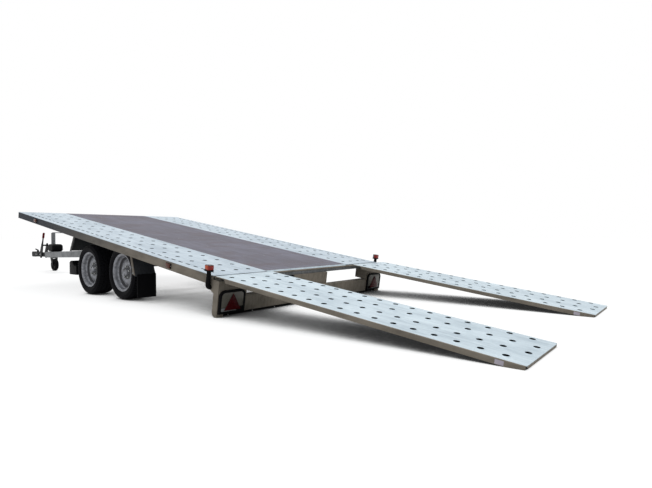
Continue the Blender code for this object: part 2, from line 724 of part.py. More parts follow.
def rim_profile():
    """Rim, pressed disc, hub cap and brake drum, from the cap inwards round to the bore."""
    face = WHEEL_OFFSET
    flange = RIM_WIDTH / 2
    bore = STUB_RADIUS + PIN_CLEARANCE
    disc = [(face + 0.028, 0.0), (face + 0.024, 0.032), (face + 0.004, 0.034),
            (face + 0.004, 0.073), (face + 0.011, 0.093), (face - 0.006, 0.1440)]
    barrel = [(0.036, 0.1440), (0.048, 0.1605), (flange + 0.0035, 0.1625),
              (flange + 0.006, RIM_RADIUS), (flange - 0.0008, BEAD_RADIUS), (0.046, 0.1648),
              (0.036, 0.1480)]
    inner = [(-0.020, 0.1480), (-0.036, 0.1640), (-flange + 0.0008, BEAD_RADIUS),
             (-flange - 0.006, RIM_RADIUS), (-flange - 0.0035, 0.1625), (-0.024, 0.1440)]
    drum = [(face - 0.010, 0.1440), (face - 0.010, DRUM_RADIUS), (DRUM_INNER, DRUM_RADIUS), (DRUM_INNER, bore),
            (0.010, bore), (0.010, 0.0)]
    return disc + barrel + inner + drum


def make_wheels(root, finish):
    for side, sign in (("left", 1), ("right", -1)):
        for end, y in (("front", -AXLE_SPACING / 2), ("rear", AXLE_SPACING / 2)):
            place = (sign * WHEEL_X, y, AXLE_Z)
            for kind, profile, colour in (("tyre", tyre_profile(), "tyre"),
                                          ("wheel", rim_profile(), "rim")):
                shape = turned([(sign * x, r) for x, r in profile], WHEEL_SEGMENTS)
                put(f"{kind}_{side}_{end}", shape, finish[colour], root, place, smooth=True)


def link_outline(first, first_radius, second, second_radius, steps=6):
    """The outline round two circles in Y and Z."""
    way = math.degrees(math.atan2(second[1] - first[1], second[0] - first[0]))
    apart = math.dist(first, second)
    lean = math.degrees(math.acos((first_radius - second_radius) / apart))
    outline = arc(first, first_radius, way + lean, way + 360 - lean, steps)
    return outline + arc(second, second_radius, way - lean, way + lean, steps)


def make_axle(end, y, root, finish):
    """A square tube with a trailing arm, a brake back plate and a stub for each wheel."""
    tube_y = y - ARM_BACK
    tube_z = AXLE_Z + ARM_RISE
    half = AXLE_TUBE / 2
    arm_inner = ARM_X - ARM_THICKNESS / 2
    arm_outer = ARM_X + ARM_THICKNESS / 2
    axle = put(f"axle_{end}", box((-arm_inner - 0.002, tube_y - half, tube_z - half),
                                  (arm_inner + 0.002, tube_y + half, tube_z + half)),
               finish["galvanised"], root)
    plate_outer = WHEEL_X + DRUM_INNER - BACKPLATE_GAP
    plate_inner = plate_outer - BACKPLATE_THICKNESS
    shapes = []
    for sign in (1, -1):
        arm = link_outline((tube_y, tube_z), 0.044, (y, AXLE_Z), 0.034)
        shapes.append(prism(arm, *sorted((sign * arm_inner, sign * arm_outer))))
        stub = rod(*sorted((sign * (arm_outer - 0.005), sign * (WHEEL_X + 0.008))),
                   STUB_RADIUS, WHEEL_SEGMENTS)
        shapes.append(moved(stub, (0, y, AXLE_Z)))
        plate = rod(*sorted((sign * plate_inner, sign * plate_outer)), DRUM_RADIUS + 0.002,
                    WHEEL_SEGMENTS)
        shapes.append(moved(plate, (0, y, AXLE_Z)))
    combine(axle, "UNION", shapes, root)


def make_chassis(root, finish):
    inner = CHASSIS_X - CHASSIS_WIDTH / 2
    outer = CHASSIS_X + CHASSIS_WIDTH / 2
    frame = put("chassis_frame", box((inner, CHASSIS_FRONT, CHASSIS_BOTTOM),
                                     (outer, CHASSIS_REAR, CHASSIS_TOP)),
                finish["galvanised"], root)
    shapes = [box((-outer, CHASSIS_FRONT, CHASSIS_BOTTOM), (-inner, CHASSIS_REAR, CHASSIS_TOP))]
    lap = 0.01
    under_shaft = HINGE_Y - CHASSIS_WIDTH / 2
    for y in (CHASSIS_FRONT, CHASSIS_MIDDLE, under_shaft, CHASSIS_REAR - CHASSIS_WIDTH):
        shapes.append(box((-inner - lap, y, CHASSIS_BOTTOM),
                          (inner + lap, y + CHASSIS_WIDTH, CHASSIS_TOP)))
    for sign in (1, -1):
        foot = CHASSIS_BOTTOM + lap
        outline = [(HINGE_Y - BRACKET_LENGTH / 2, foot), (HINGE_Y + BRACKET_LENGTH / 2, foot)]
        outline += arc((HINGE_Y, HINGE_Z), BRACKET_RADIUS, 0, 180, 8)
        ends = sorted((sign * (inner + 0.004 - BRACKET_THICKNESS), sign * (inner + 0.004)))
        shapes.append(prism(outline, *ends))
        ends = sorted((sign * EYE_FACE, sign * (EYE_FACE + LUG_THICKNESS)))
        seat = (CHASSIS_FRONT + CHASSIS_WIDTH / 2, (CHASSIS_BOTTOM + CHASSIS_TOP) / 2)
        lug = link_outline((CYLINDER_Y, CYLINDER_Z), LUG_EYE_RADIUS, seat, LUG_EYE_RADIUS - 0.001)
        shapes.append(prism(lug, *ends))
    shaft = moved(rod(-inner, inner, SHAFT_RADIUS, 16), (0, HINGE_Y, HINGE_Z))
    combine(frame, "UNION", shapes + [shaft], root)


def arm_top(y):
    """The height of the drawbar arms' upper face."""
    rear_z = (CHASSIS_BOTTOM + CHASSIS_TOP) / 2
    share = (y - CHASSIS_FRONT) / (DRAWBAR_APEX - CHASSIS_FRONT)
    return rear_z + (APEX_Z - rear_z) * share + ARM_HEIGHT / 2


def arm_inner_x(y):
    share = (y - CHASSIS_FRONT) / (DRAWBAR_APEX - CHASSIS_FRONT)
    rear = CHASSIS_X - ARM_WIDTH
    return rear + (APEX_HALF - rear) * share


def hexahedron(corners):
    """Eight corners: four round one end, then four round the other, in the same order."""
    made = bmesh.new()
    verts = [made.verts.new(corner) for corner in corners]
    for face in ((0, 1, 2, 3), (7, 6, 5, 4), (0, 4, 5, 1), (1, 5, 6, 2), (2, 6, 7, 3),
                 (3, 7, 4, 0)):
        made.faces.new([verts[i] for i in face])
    return made


def make_drawbar(root, finish):
    """Two box arms that run in to a point, with a plate across their tips."""
    for side, sign in (("left", 1), ("right", -1)):
        corners = []
        for y in (CHASSIS_FRONT - SEAT, DRAWBAR_APEX):
            near = arm_inner_x(y)
            top = arm_top(y)
            for x, z in ((near, top), (near + ARM_WIDTH, top),
                         (near + ARM_WIDTH, top - ARM_HEIGHT), (near, top - ARM_HEIGHT)):
                corners.append((sign * x, y, z))
        put(f"drawbar_arm_{side}", hexahedron(corners), finish["galvanised"], root)
    corners = []
    for y in (DRAWBAR_APEX + NOSE_LENGTH, DRAWBAR_APEX):
        reach = arm_inner_x(y) + ARM_WIDTH
        low = arm_top(y) + SEAT
        corners += [(-reach, y, low), (reach, y, low), (reach, y, low + NOSE_PLATE),
                    (-reach, y, low + NOSE_PLATE)]
    put("drawbar_nose_plate", hexahedron(corners), finish["galvanised"], root)


def make_coupling(root, finish):
    half = APEX_HALF - PIN_CLEARANCE
    low = APEX_Z - HOUSING_HEIGHT / 2
    high = APEX_Z + HOUSING_HEIGHT / 2
    housing = put("overrun_housing", box((-half, HOUSING_FRONT, low), (half, HOUSING_REAR, high)),
                  finish["galvanised"], root)
    rounded(housing, 0.008)
    start = HOUSING_FRONT - SEAT
    folds = []
    for i in range(2 * GAITER_FOLDS + 1):
        along = start - (GAITER_LENGTH - 2 * SEAT) * i / (2 * GAITER_FOLDS)
        radius = GAITER_RADIUS - (GAITER_FOLD_DEPTH if i % 2 else 0.0)
        folds.append((along, radius))
    profile = [(folds[0][0], 0.0)] + folds + [(folds[-1][0], 0.0)]
    put("drawbar_gaiter", moved(turned(profile, 12, "Y"), (0, 0, APEX_Z)),
        finish["rubber"], root, smooth=True)
    rear = HOUSING_FRONT - GAITER_LENGTH - SEAT
    front = COUPLING_FRONT
    bottom = APEX_Z - COUPLING_HEIGHT / 2
    top = APEX_Z + COUPLING_HEIGHT / 2
    nose = 0.030
    neck = rear - NECK_LENGTH
    outline = [(rear, bottom + 0.014), (neck, bottom), (front + nose, bottom)]
    outline += arc((front + nose, bottom + nose), nose, -90, -180, 4)[1:]
    outline += arc((front + nose, top - nose), nose, 180, 90, 4)
    outline += [(neck, top), (rear, top - 0.016)]
    head = put("coupling_head", prism(outline, -COUPLING_WIDTH / 2, COUPLING_WIDTH / 2),
               finish["steel"], root)
    end = neck - HANDLE_LENGTH
    handle = [(neck, top - 0.01), (neck + 0.02, top - 0.01), (neck + 0.005, top + 0.030),
              (end, top + 0.050), (end, top + 0.040), (neck - 0.01, top + 0.020)]
    combine(head, "UNION", [prism(handle, -0.012, 0.012)], root)
    socket = rod(bottom - 0.01, bottom + SOCKET_DEPTH, BALL_RADIUS, 20, "Z")
    combine(head, "DIFFERENCE", [moved(socket, (0, front + SOCKET_SETBACK, 0))], root)
    make_brake_lever(half, root, finish)


def make_brake_lever(face, root, finish):
    pivot = (LEVER_PIVOT_Y, APEX_Z)
    lean = math.radians(LEVER_LEAN)
    tip = (pivot[0] + LEVER_LENGTH * math.sin(lean), pivot[1] + LEVER_LENGTH * math.cos(lean))
    outline = link_outline(pivot, LEVER_ROOT, tip, LEVER_TIP)
    lever = put("brake_lever", prism(outline, face + SEAT, face + SEAT + LEVER_THICKNESS),
                finish["black"], root)
    along = Vector((0, math.sin(lean), math.cos(lean)))
    grip = rod(0, GRIP_LENGTH, GRIP_RADIUS, 12, "Z")
    bmesh.ops.rotate(grip, verts=grip.verts[:], cent=(0, 0, 0),
                     matrix=Matrix.Rotation(-lean, 3, "X"))
    place = Vector((face + SEAT + LEVER_THICKNESS / 2, tip[0], tip[1]))
    combine(lever, "UNION", [moved(grip, place)], root)


def make_jockey(root, finish):
    """A clamp, a tube with its crank, a leg that screws out of it, and a caster wheel."""
    face = APEX_HALF - PIN_CLEARANCE + SEAT
    clamp = put("jockey_clamp", box((JOCKEY_X - JOCKEY_TUBE_RADIUS - 0.012, JOCKEY_Y - 0.036,
                                     APEX_Z + JOCKEY_CLAMP_LOW),
                                    (-face, JOCKEY_Y + 0.036, APEX_Z + JOCKEY_CLAMP_HIGH)),
                finish["galvanised"], root)
    hole = rod(APEX_Z - 2 * JOCKEY_CLAMP_HIGH, APEX_Z + 2 * JOCKEY_CLAMP_HIGH,
               JOCKEY_TUBE_RADIUS + SEAT, 16, "Z")
    combine(clamp, "DIFFERENCE", [moved(hole, (JOCKEY_X, JOCKEY_Y, 0))], root)
    low = JOCKEY_TUBE_TOP - JOCKEY_TUBE_LENGTH
    bore = JOCKEY_TUBE_RADIUS - JOCKEY_TUBE_WALL
    wall = JOCKEY_TUBE_TOP - JOCKEY_TUBE_WALL
    profile = [(low, bore), (low, JOCKEY_TUBE_RADIUS), (JOCKEY_TUBE_TOP, JOCKEY_TUBE_RADIUS),
               (JOCKEY_TUBE_TOP, 0.0), (wall, 0.0), (wall, bore)]
    tube = put("jockey_tube", moved(turned(profile, 16, "Z"), (JOCKEY_X, JOCKEY_Y, 0)),
               finish["galvanised"], root)
    crank = [box((JOCKEY_X - 0.130, JOCKEY_Y - 0.011, wall + 0.001),
                 (JOCKEY_X + 0.011, JOCKEY_Y + 0.011, JOCKEY_TUBE_TOP + 0.010)),
             moved(rod(wall + 0.002, JOCKEY_TUBE_TOP + 0.070, 0.012, 10, "Z"),
                   (JOCKEY_X - 0.119, JOCKEY_Y, 0))]
    combine(tube, "UNION", crank, root)
    crown_low = 2 * JOCKEY_WHEEL_RADIUS + 0.006
    crown_high = crown_low + 0.016
    leg = rod(crown_high + SEAT, wall - JOCKEY_LIFT - 0.005, JOCKEY_LEG_RADIUS, 16, "Z")
    put("jockey_leg", moved(leg, (JOCKEY_X, JOCKEY_Y, 0)), finish["steel"], root, smooth=True)
    side_inner = JOCKEY_WHEEL_WIDTH / 2 + 0.006
    side_outer = side_inner + FORK_THICKNESS
    axle = (JOCKEY_TRAIL, JOCKEY_WHEEL_RADIUS)
    fork = put("jockey_fork", box((-side_outer, -0.030, crown_low),
                                  (side_outer, JOCKEY_TRAIL + 0.018, crown_high)),
               finish["galvanised"], root, (JOCKEY_X, JOCKEY_Y, 0))
    shapes = [moved(rod(-side_outer, side_outer, 0.008, 12), (0, *axle))]
    for sign in (1, -1):
        outline = [(-0.030, crown_high - 0.004), (-0.030, crown_low)]
        outline += arc(axle, 0.018, 200, 340, 6)
        outline += [(JOCKEY_TRAIL + 0.018, crown_high - 0.004)]
        shapes.append(prism(outline, *sorted((sign * side_inner, sign * side_outer))))
    combine(fork, "UNION", shapes, root)
    bore = 0.008 + PIN_CLEARANCE
    half = JOCKEY_WHEEL_WIDTH / 2
    rim = JOCKEY_WHEEL_RADIUS
    profile = [(half, bore), (half, 0.026), (half - 0.012, 0.034), (half - 0.012, 0.070),
               (half - 0.003, 0.078), (half - 0.003, rim - 0.010), (half - 0.012, rim)]
    profile += [(-x, r) for x, r in profile[::-1]]
    put("jockey_wheel", turned(profile, 16), finish["tyre"], root,
        (JOCKEY_X, JOCKEY_Y + axle[0], axle[1]), smooth=True)


def make_pump(root, finish):
    """A hand pump and its oil tank under a rounded cover, on the plate of the drawbar."""
    rear = PUMP_Y + PUMP_LENGTH / 2
    front = PUMP_Y - PUMP_LENGTH / 2
    lift = NOSE_PLATE + 2 * SEAT
    radius = 0.045
    high = arm_top(PUMP_Y) + lift + PUMP_HEIGHT
    outline = [(front, arm_top(front) + lift), (rear, arm_top(rear) + lift)]
    outline += arc((rear - radius, high - radius), radius, 0, 90, 5)
    outline += arc((front + radius, high - radius), radius, 90, 180, 5)
    rounded(put("hand_pump", prism(outline, -PUMP_WIDTH / 2, PUMP_WIDTH / 2),
                finish["black"], root), 0.012, 1, 50)


def cylinder_line():
    eye = bed_to_ground(EYE_Y, DECK - EYE_BELOW_DECK)
    along = (eye[0] - CYLINDER_Y, eye[1] - CYLINDER_Z)
    return math.atan2(along[1], along[0]), math.hypot(*along)


def make_cylinder(root, finish):
    """The lifting cylinder: a barrel on the chassis and a rod that reaches the bed's lugs."""
    turn, length = cylinder_line()
    pivot = empty("cylinder_pivot", (0, CYLINDER_Y, CYLINDER_Z), root, turn)
    half = EYE_FACE - PIN_CLEARANCE
    barrel = put("cylinder_barrel", rod(EYE_RADIUS + 0.010, CYLINDER_BARREL,
                                        CYLINDER_RADIUS, 20, "Y"), finish["black"], pivot)
    tongue = prism(arc((0, 0), EYE_RADIUS - 0.004, 90, 270, 8) + [(0.05, -0.020), (0.05, 0.020)],
                   -half, half)
    bore = rod(CYLINDER_BARREL - CYLINDER_STROKE - 0.02, CYLINDER_BARREL + 0.01,
               CYLINDER_ROD + PIN_CLEARANCE, 16, "Y")
    combine(barrel, "UNION", [tongue], pivot)
    combine(barrel, "DIFFERENCE", [bore], pivot)
    piston = put("cylinder_rod", rod(CYLINDER_BARREL - 0.010, length - 0.015, CYLINDER_ROD, 16,
                                     "Y"), finish["steel"], pivot)
    eye = prism(arc((length, 0), EYE_RADIUS - 0.006, -110, 110, 8)
                + [(length - 0.030, 0.016), (length - 0.030, -0.016)], -half, half)
    combine(piston, "UNION", [eye], pivot)


def make_chock(root, finish):
    """A plastic wheel chock carried on a plate at the left side of the chassis."""
    face = CHASSIS_X + CHASSIS_WIDTH / 2 + SEAT
    top = CHASSIS_BOTTOM - 0.04
    low = top - CHOCK_HEIGHT
    put("chock_holder", box((face, CHOCK_Y - 0.05, low + 0.02),
                            (face + 0.006, CHOCK_Y + 0.05, CHASSIS_TOP - 0.01)),
        finish["galvanised"], root)
    front = CHOCK_Y - CHOCK_LENGTH / 2
    rear = CHOCK_Y + CHOCK_LENGTH / 2
    outline = [(front, low), (rear, low), (rear, low + CHOCK_HEIGHT * 0.55)]
    outline += arc((rear - 0.02, top + 0.04), 0.10, -85, -155, 6)
    outline += [(front + 0.03, top), (front, top - 0.02)]
    chock = put("wheel_chock", prism(outline, face + 0.006 + SEAT,
                                     face + 0.006 + SEAT + CHOCK_WIDTH), finish["black"], root)
    rounded(chock, 0.006, 1)


def finishes():
    return {
        "galvanised": material("galvanised steel", (0.62, 0.66, 0.70), 0.45, 0.85),
        "board": material("deck board", (0.22, 0.20, 0.22), 0.75),
        "steel": material("bright steel", (0.55, 0.56, 0.58), 0.35, 0.95),
        "rim": material("silver wheel", (0.52, 0.55, 0.60), 0.35, 0.80),
        "tyre": material("tyre rubber", (0.035, 0.035, 0.040), 0.85),
        "rubber": material("black rubber", (0.02, 0.02, 0.022), 0.80),
        "guard": material("grey guard plastic", (0.10, 0.10, 0.11), 0.60),
        "black": material("black parts", (0.03, 0.03, 0.035), 0.50),
        "red": material("red lens", (0.45, 0.03, 0.03), 0.25),
        "amber": material("amber lens", (0.75, 0.28, 0.04), 0.30),
        "lens": material("lamp lens", (0.45, 0.42, 0.42), 0.30),
    }


def main():
    clear_scene()
    finish = finishes()
    outer_left = HALF + SEAT + STALK_OUT + MARKER_SIZE / 2
    outer_right = RAMP_RIGHT_X - RAMP_WIDTH / 2
    tip_y = (HINGE_Y + ROD_Y * math.cos(TILT) + ROD_Z * math.sin(TILT)
             + RAMP_LENGTH * math.cos(RAMP_SLOPE) + PLATE_TOP * math.sin(RAMP_SLOPE))
    middle = ((outer_left + outer_right) / 2, (COUPLING_FRONT + tip_y) / 2)
    root = empty("trailer", (-middle[0], -middle[1], 0))
    bed = empty("bed_hinge", (0, HINGE_Y, HINGE_Z), root, -TILT)
    make_deck(bed, finish)
    make_bumper(bed, finish)
    make_lamps(bed, finish)
    make_mudguards(bed, finish)
    make_hook_rod(bed, finish)
    make_ramp("left", RAMP_LEFT_X, bed, finish)
    make_ramp("right", RAMP_RIGHT_X, bed, finish)
    make_wheels(root, finish)
    make_axle("front", -AXLE_SPACING / 2, root, finish)
    make_axle("rear", AXLE_SPACING / 2, root, finish)
    make_chassis(root, finish)
    make_drawbar(root, finish)
    make_coupling(root, finish)
    make_jockey(root, finish)
    make_pump(root, finish)
    make_cylinder(root, finish)
    make_chock(root, finish)
    print("trailer placed by", [round(v, 5) for v in middle])
    print("tilt", math.degrees(TILT), "ramp slope", math.degrees(RAMP_SLOPE))
    print("cylinder", [math.degrees(cylinder_line()[0]), cylinder_line()[1]])


main()
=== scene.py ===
# %% [markdown]
# A tilting-bed car trailer, standing ready for loading. The bed is tipped until its rear bar
# stands on the ground, and two punched ramps are hooked on behind it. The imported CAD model
# gives every solid its place. This lesson lays the finish over it: punched plates, tyres with
# a tread, lamps, bolts and the weathered zinc that gives the trailer its look.

# %% Load the frame
import json
import math

import bmesh
import bpy
from mathutils import Matrix, Vector
from mathutils.geometry import delaunay_2d_cdt


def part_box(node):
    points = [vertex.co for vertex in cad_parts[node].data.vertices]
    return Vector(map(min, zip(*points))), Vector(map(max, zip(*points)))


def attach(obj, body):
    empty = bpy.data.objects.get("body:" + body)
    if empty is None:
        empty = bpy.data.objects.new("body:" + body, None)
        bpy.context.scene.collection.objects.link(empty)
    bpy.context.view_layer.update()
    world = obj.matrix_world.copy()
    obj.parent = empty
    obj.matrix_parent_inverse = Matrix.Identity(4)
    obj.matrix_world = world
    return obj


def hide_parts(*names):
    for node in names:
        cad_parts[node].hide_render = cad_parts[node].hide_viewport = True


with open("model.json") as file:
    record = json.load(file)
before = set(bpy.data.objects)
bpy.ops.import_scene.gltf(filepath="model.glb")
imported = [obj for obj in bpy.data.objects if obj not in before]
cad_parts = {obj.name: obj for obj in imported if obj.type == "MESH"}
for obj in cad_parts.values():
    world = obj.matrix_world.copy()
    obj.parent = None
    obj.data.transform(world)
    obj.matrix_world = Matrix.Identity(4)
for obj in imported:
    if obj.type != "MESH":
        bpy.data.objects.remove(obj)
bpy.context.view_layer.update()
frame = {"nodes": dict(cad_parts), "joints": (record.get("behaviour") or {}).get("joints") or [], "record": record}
joints = {joint["name"]: joint for joint in frame["joints"]}

# %% [markdown]
# Three places are enough to lay out every piece. The bed turns on its cross shaft and is
# tipped by the angle of its load face, each ramp turns on the hook rod, and the chassis is
# measured from the ground below the middle of the axles. A matrix for each lets a piece be
# drawn with plain numbers and then set where the CAD says. The numbers are metres: Y runs
# back along the trailer, X to its left, and the bed's Z is counted from the cross shaft.

# %% Set up the places
HINGE_ON_CHASSIS = Vector((0, -0.20, 0.50))
HINGE = Vector(joints["bed_tilt"]["pos_m"])
deck_axis = frame["record"]["mounts"][0]["axis"]
TILT = math.atan2(deck_axis[1], deck_axis[2])
RAMP_SLOPE = math.radians(7.1671)
CHASSIS = Matrix.Translation(HINGE - HINGE_ON_CHASSIS)
BED = Matrix.Translation(HINGE) @ Matrix.Rotation(-TILT, 4, "X")
RAMPS = {side: Matrix.Translation(Vector(joints[f"ramp_{side}_hinge"]["pos_m"]))
         @ Matrix.Rotation(-RAMP_SLOPE, 4, "X") for side in ("left", "right")}
SIDES = (("left", 1), ("right", -1))
AXLES = (("front", -0.35), ("rear", 0.35))
DECK = 0.1324
BED_LENGTH = 4.06
REAR = 2.1186
FRONT = REAR - BED_LENGTH
BUMPER_REAR = REAR + 0.0764
HALF = 1.05
SHEET = 0.003
SEAT = 0.0003
print("tilt", round(math.degrees(TILT), 3), "hinge", [round(v, 4) for v in HINGE])

# %% [markdown]
# A material on this trailer is never one flat colour: zinc has cloudy spangle, plywood has
# streaks, rubber has dust. Wiring such a shader by hand takes dozens of links, so a small
# class wraps a socket and lets Python's own signs add the Math nodes. One method makes any
# node: its type, then its settings, then what goes into its sockets.

# %% Node helper
class Wire:
    """The output of a node, on which plus, minus and times add Math nodes."""

    def __init__(self, finish, socket):
        self.finish = finish
        self.socket = socket

    def math(self, operation, first, second):
        return self.finish.node("ShaderNodeMath", {"operation": operation},
                                {0: first, 1: second})

    def __add__(self, other):
        return self.math("ADD", self, other)

    def __sub__(self, other):
        return self.math("SUBTRACT", self, other)

    def __rsub__(self, other):
        return self.math("SUBTRACT", other, self)

    def __mul__(self, other):
        return self.math("MULTIPLY", self, other)


class Nodes:
    """A node tree that grows node by node."""

    def __init__(self, tree):
        self.tree = tree

    def feed(self, socket, value):
        if isinstance(value, Wire):
            self.tree.links.new(value.socket, socket)
        else:
            socket.default_value = value

    def node(self, kind, settings=None, values=None, out=0):
        made = self.tree.nodes.new(kind)
        for key, value in (settings or {}).items():
            setattr(made, key, value)
        for key, value in (values or {}).items():
            self.feed(made.inputs[key], value)
        return Wire(self, made.outputs[out])

    def seen(self):
        """1 where the eye, a reflection or a look through glass meets the surface."""
        rays = [self.node("ShaderNodeLightPath", out=kind)
                for kind in ("Is Camera Ray", "Is Glossy Ray", "Is Transmission Ray")]
        return rays[0] + rays[1] + rays[2]


print("node helper ready")

# %% [markdown]
# A finish is such a tree for one material. It starts from the Principled shader and adds
# the few patterns that the trailer needs: a cloud noise, a soft step, a mix of two colours
# and a bump. Colours are written as on a paint chart and turned into light.

# %% Finish helper
class Finish(Nodes):
    """A Principled material."""

    def __init__(self, name, roughness=0.5, metallic=0.0, **constants):
        self.material = bpy.data.materials.new(name)
        self.material.use_nodes = True
        super().__init__(self.material.node_tree)
        self.shader = self.tree.nodes["Principled BSDF"]
        self.set("Roughness", roughness)
        self.set("Metallic", metallic)
        for key, value in constants.items():
            self.set(key.replace("_", " "), value)

    def set(self, name, value):
        self.feed(self.shader.inputs[name], value)

    def place(self, scale=(1, 1, 1)):
        """Where a point lies on the object at rest, in metres, stretched by the scale."""
        here = self.node("ShaderNodeTexCoord", out=3)
        return self.node("ShaderNodeMapping", values={"Vector": here, "Scale": scale})

    def cloud(self, scale, detail=3, stretch=(1, 1, 1), rough=0.5):
        return self.node("ShaderNodeTexNoise", values={"Vector": self.place(stretch),
                         "Scale": scale, "Detail": detail, "Roughness": rough})

    def step(self, value, low, high):
        """0 below low, 1 above high, and a soft slope between."""
        return self.node("ShaderNodeMapRange", {"interpolation_type": "SMOOTHSTEP"},
                         {0: value, 1: low, 2: high})

    def mix(self, mask, colour_a, colour_b):
        return self.node("ShaderNodeMix", {"data_type": "RGBA"},
                         {0: mask, 6: colour_a, 7: colour_b}, out=2)

    def bump(self, height, depth, strength=1.0):
        self.set("Normal", self.node("ShaderNodeBump", values={"Height": height,
                 "Distance": depth, "Strength": strength}))


def paint(red, green, blue):
    """A colour as a paint chart gives it, 0 to 255, turned into light."""
    made = []
    for part in (red, green, blue):
        share = part / 255
        made.append(share / 12.92 if share < 0.04045 else ((share + 0.055) / 1.055) ** 2.4)
    return (*made, 1.0)


print("finish helper ready")


# %% [markdown]
# Hot-dip zinc is the trailer's main finish. Real zinc freezes in crystals of 5 to 15 mm and
# then weathers in soft clouds and run marks. A Voronoi texture gives the crystals and two
# noises the weather. The upper faces are kept pale and the folded sides darker, as painted
# shade, so the same maker gives both from two pairs of colours. A far colour darkens the
# rails toward the drawbar, as painted shade.

# %% Zinc
def zinc(name, pale, dull, roughness, metallic, weather=0.5, far=None, shine=0.3):
    made = Finish(name, metallic=metallic, Specular_IOR_Level=shine)
    crystal = made.node("ShaderNodeTexVoronoi", values={"Vector": made.place(), "Scale": 95.0},
                        out=1)
    grey = made.node("ShaderNodeSeparateColor", values={0: crystal})
    cloud = made.cloud(3.0, 5, (2.2, 0.8, 2.2), 0.6)
    runs = made.cloud(14.0, 4, (3.0, 0.35, 1.0), 0.65)
    wear = made.step(cloud * 0.55 + runs * 0.45, 0.5 - 0.3 * weather, 0.5 + 0.5 * weather)
    colour = made.mix(wear, paint(*pale), paint(*dull))
    # The far colour is painted shade toward the front of the trailer.
    if far:
        along = made.node("ShaderNodeSeparateXYZ", values={0: made.place()}, out=1)
        colour = made.mix(made.step(along, 1.7, -1.3), colour, paint(*far))
    darker = made.node("ShaderNodeMix", {"data_type": "RGBA", "blend_type": "MULTIPLY"},
                       {0: (1 - grey) * 0.10, 6: colour, 7: paint(150, 158, 165)}, out=2)
    made.set("Base Color", darker)
    made.set("Roughness", made.step(grey * 0.3 + runs * 0.7, 0.1, 0.9) * 0.16 + roughness)
    made.bump(grey * 0.3 + made.cloud(60.0, 2), 0.0004, 0.35)
    return made


zinc_plate = zinc("zinc plate", (206, 219, 229), (156, 171, 184), 0.38, 0.25, 0.6)
zinc_ramp = zinc("zinc ramp", (218, 232, 240), (168, 184, 195), 0.38, 0.25, 0.6)
# The sides are a darker copy of the plates' zinc, as painted shade, darker still toward the drawbar.
shaded_zinc_side = zinc("zinc side with painted shade", (150, 141, 129), (110, 103, 94), 0.52, 0.12,
                 far=(50, 54, 62), shine=0.12)
zinc_frame = zinc("zinc frame", (142, 144, 146), (94, 96, 98), 0.5, 0.2, shine=0.2)
# Painted shade: the dark colour inside the holes.
hole_shade = zinc("painted shade in the holes", (30, 33, 36), (14, 15, 17), 0.8, 0.0, shine=0.05)
print("zinc finishes", 5)

# %% [markdown]
# The middle of the bed is film-faced plywood: a purple-brown resin skin with a fine wire
# mesh pressed into it for grip. Long streaks show where wheels and water ran, and the
# small diamond relief only shows close up. Its edges show the layers of the ply.

# %% Plywood
board_top = Finish("board top", roughness=0.6, Specular_IOR_Level=0.15)
streaks = board_top.cloud(9.0, 5, (1.6, 0.22, 1.0), 0.62)
clouds = board_top.cloud(2.2, 4, (1.0, 0.7, 1.0), 0.55)
patches = board_top.cloud(3.4, 5, (0.7, 1.3, 1.0), 0.6)
stain = board_top.step(streaks * 0.55 + clouds * 0.45, 0.34, 0.66)
worn = board_top.mix(stain, paint(92, 89, 101), paint(124, 123, 136))
brown = board_top.mix(stain, paint(90, 82, 90), paint(114, 107, 115))
board_top.set("Base Color", board_top.mix(board_top.step(patches, 0.42, 0.70), worn, brown))
board_top.set("Roughness", stain * 0.15 + 0.50)
mesh_a = board_top.node("ShaderNodeTexWave", {"bands_direction": "DIAGONAL"},
                        {"Vector": board_top.place((1, 1, 0)), "Scale": 90.0})
mesh_b = board_top.node("ShaderNodeTexWave", {"bands_direction": "DIAGONAL"},
                        {"Vector": board_top.place((-1, 1, 0)), "Scale": 90.0})
board_top.bump(mesh_a * mesh_b + streaks * 0.4, 0.0005, 0.5)

board_edge = Finish("board edge", roughness=0.8)
layers = board_edge.node("ShaderNodeTexWave", {"bands_direction": "Z"},
                         {"Vector": board_edge.place(), "Scale": 110.0, "Distortion": 0.6})
board_edge.set("Base Color", board_edge.mix(layers, paint(64, 47, 38), paint(112, 88, 70)))
board_edge.bump(layers, 0.0005, 0.4)
print("board finishes", 2)

# %% [markdown]
# Rubber is almost black and rough, with pale dust in soft patches. Moulded plastic and
# thick black paint look much the same from a step away, with a finer grain, so one maker
# gives them all from a deep colour, the colour of the dust on it, and a roughness.

# %% Rubber and plastic
def dusty(name, deep, dust, roughness, amount=0.5, grain=260.0):
    made = Finish(name, roughness=roughness, Specular_IOR_Level=0.08)
    patches = made.cloud(7.0, 5, rough=0.62)
    specks = made.cloud(90.0, 2)
    mask = made.step(patches * 0.75 + specks * 0.25, 0.62 - 0.25 * amount, 0.85)
    made.set("Base Color", made.mix(mask, paint(*deep), paint(*dust)))
    made.set("Roughness", mask * 0.12 + roughness)
    made.bump(made.cloud(grain, 3), 0.0004, 0.4)
    return made


tyre_rubber = dusty("tyre rubber", (12, 12, 15), (32, 32, 35), 0.76, 0.5)
black_rubber = dusty("black rubber", (8, 8, 10), (22, 22, 23), 0.66, 0.3)
guard_plastic = dusty("guard plastic", (56, 58, 61), (80, 81, 81), 0.58, 0.6)
black_plastic = dusty("black plastic", (7, 7, 9), (19, 19, 20), 0.55, 0.3)
black_paint = dusty("black paint", (14, 14, 17), (34, 32, 32), 0.45, 0.4, 140.0)
dark_red = dusty("dark red grip", (104, 18, 22), (64, 24, 26), 0.45, 0.3)
# Painted shade for the wheel: its well, the seat round the cap and the dents.
painted_wheel_shade = dusty("painted shade in the wheel", (96, 96, 99), (112, 112, 112), 0.7, 0.6)
label_white = dusty("blank label", (206, 198, 210), (176, 170, 182), 0.45, 0.5)
print("rubber, plastic and paint finishes made")

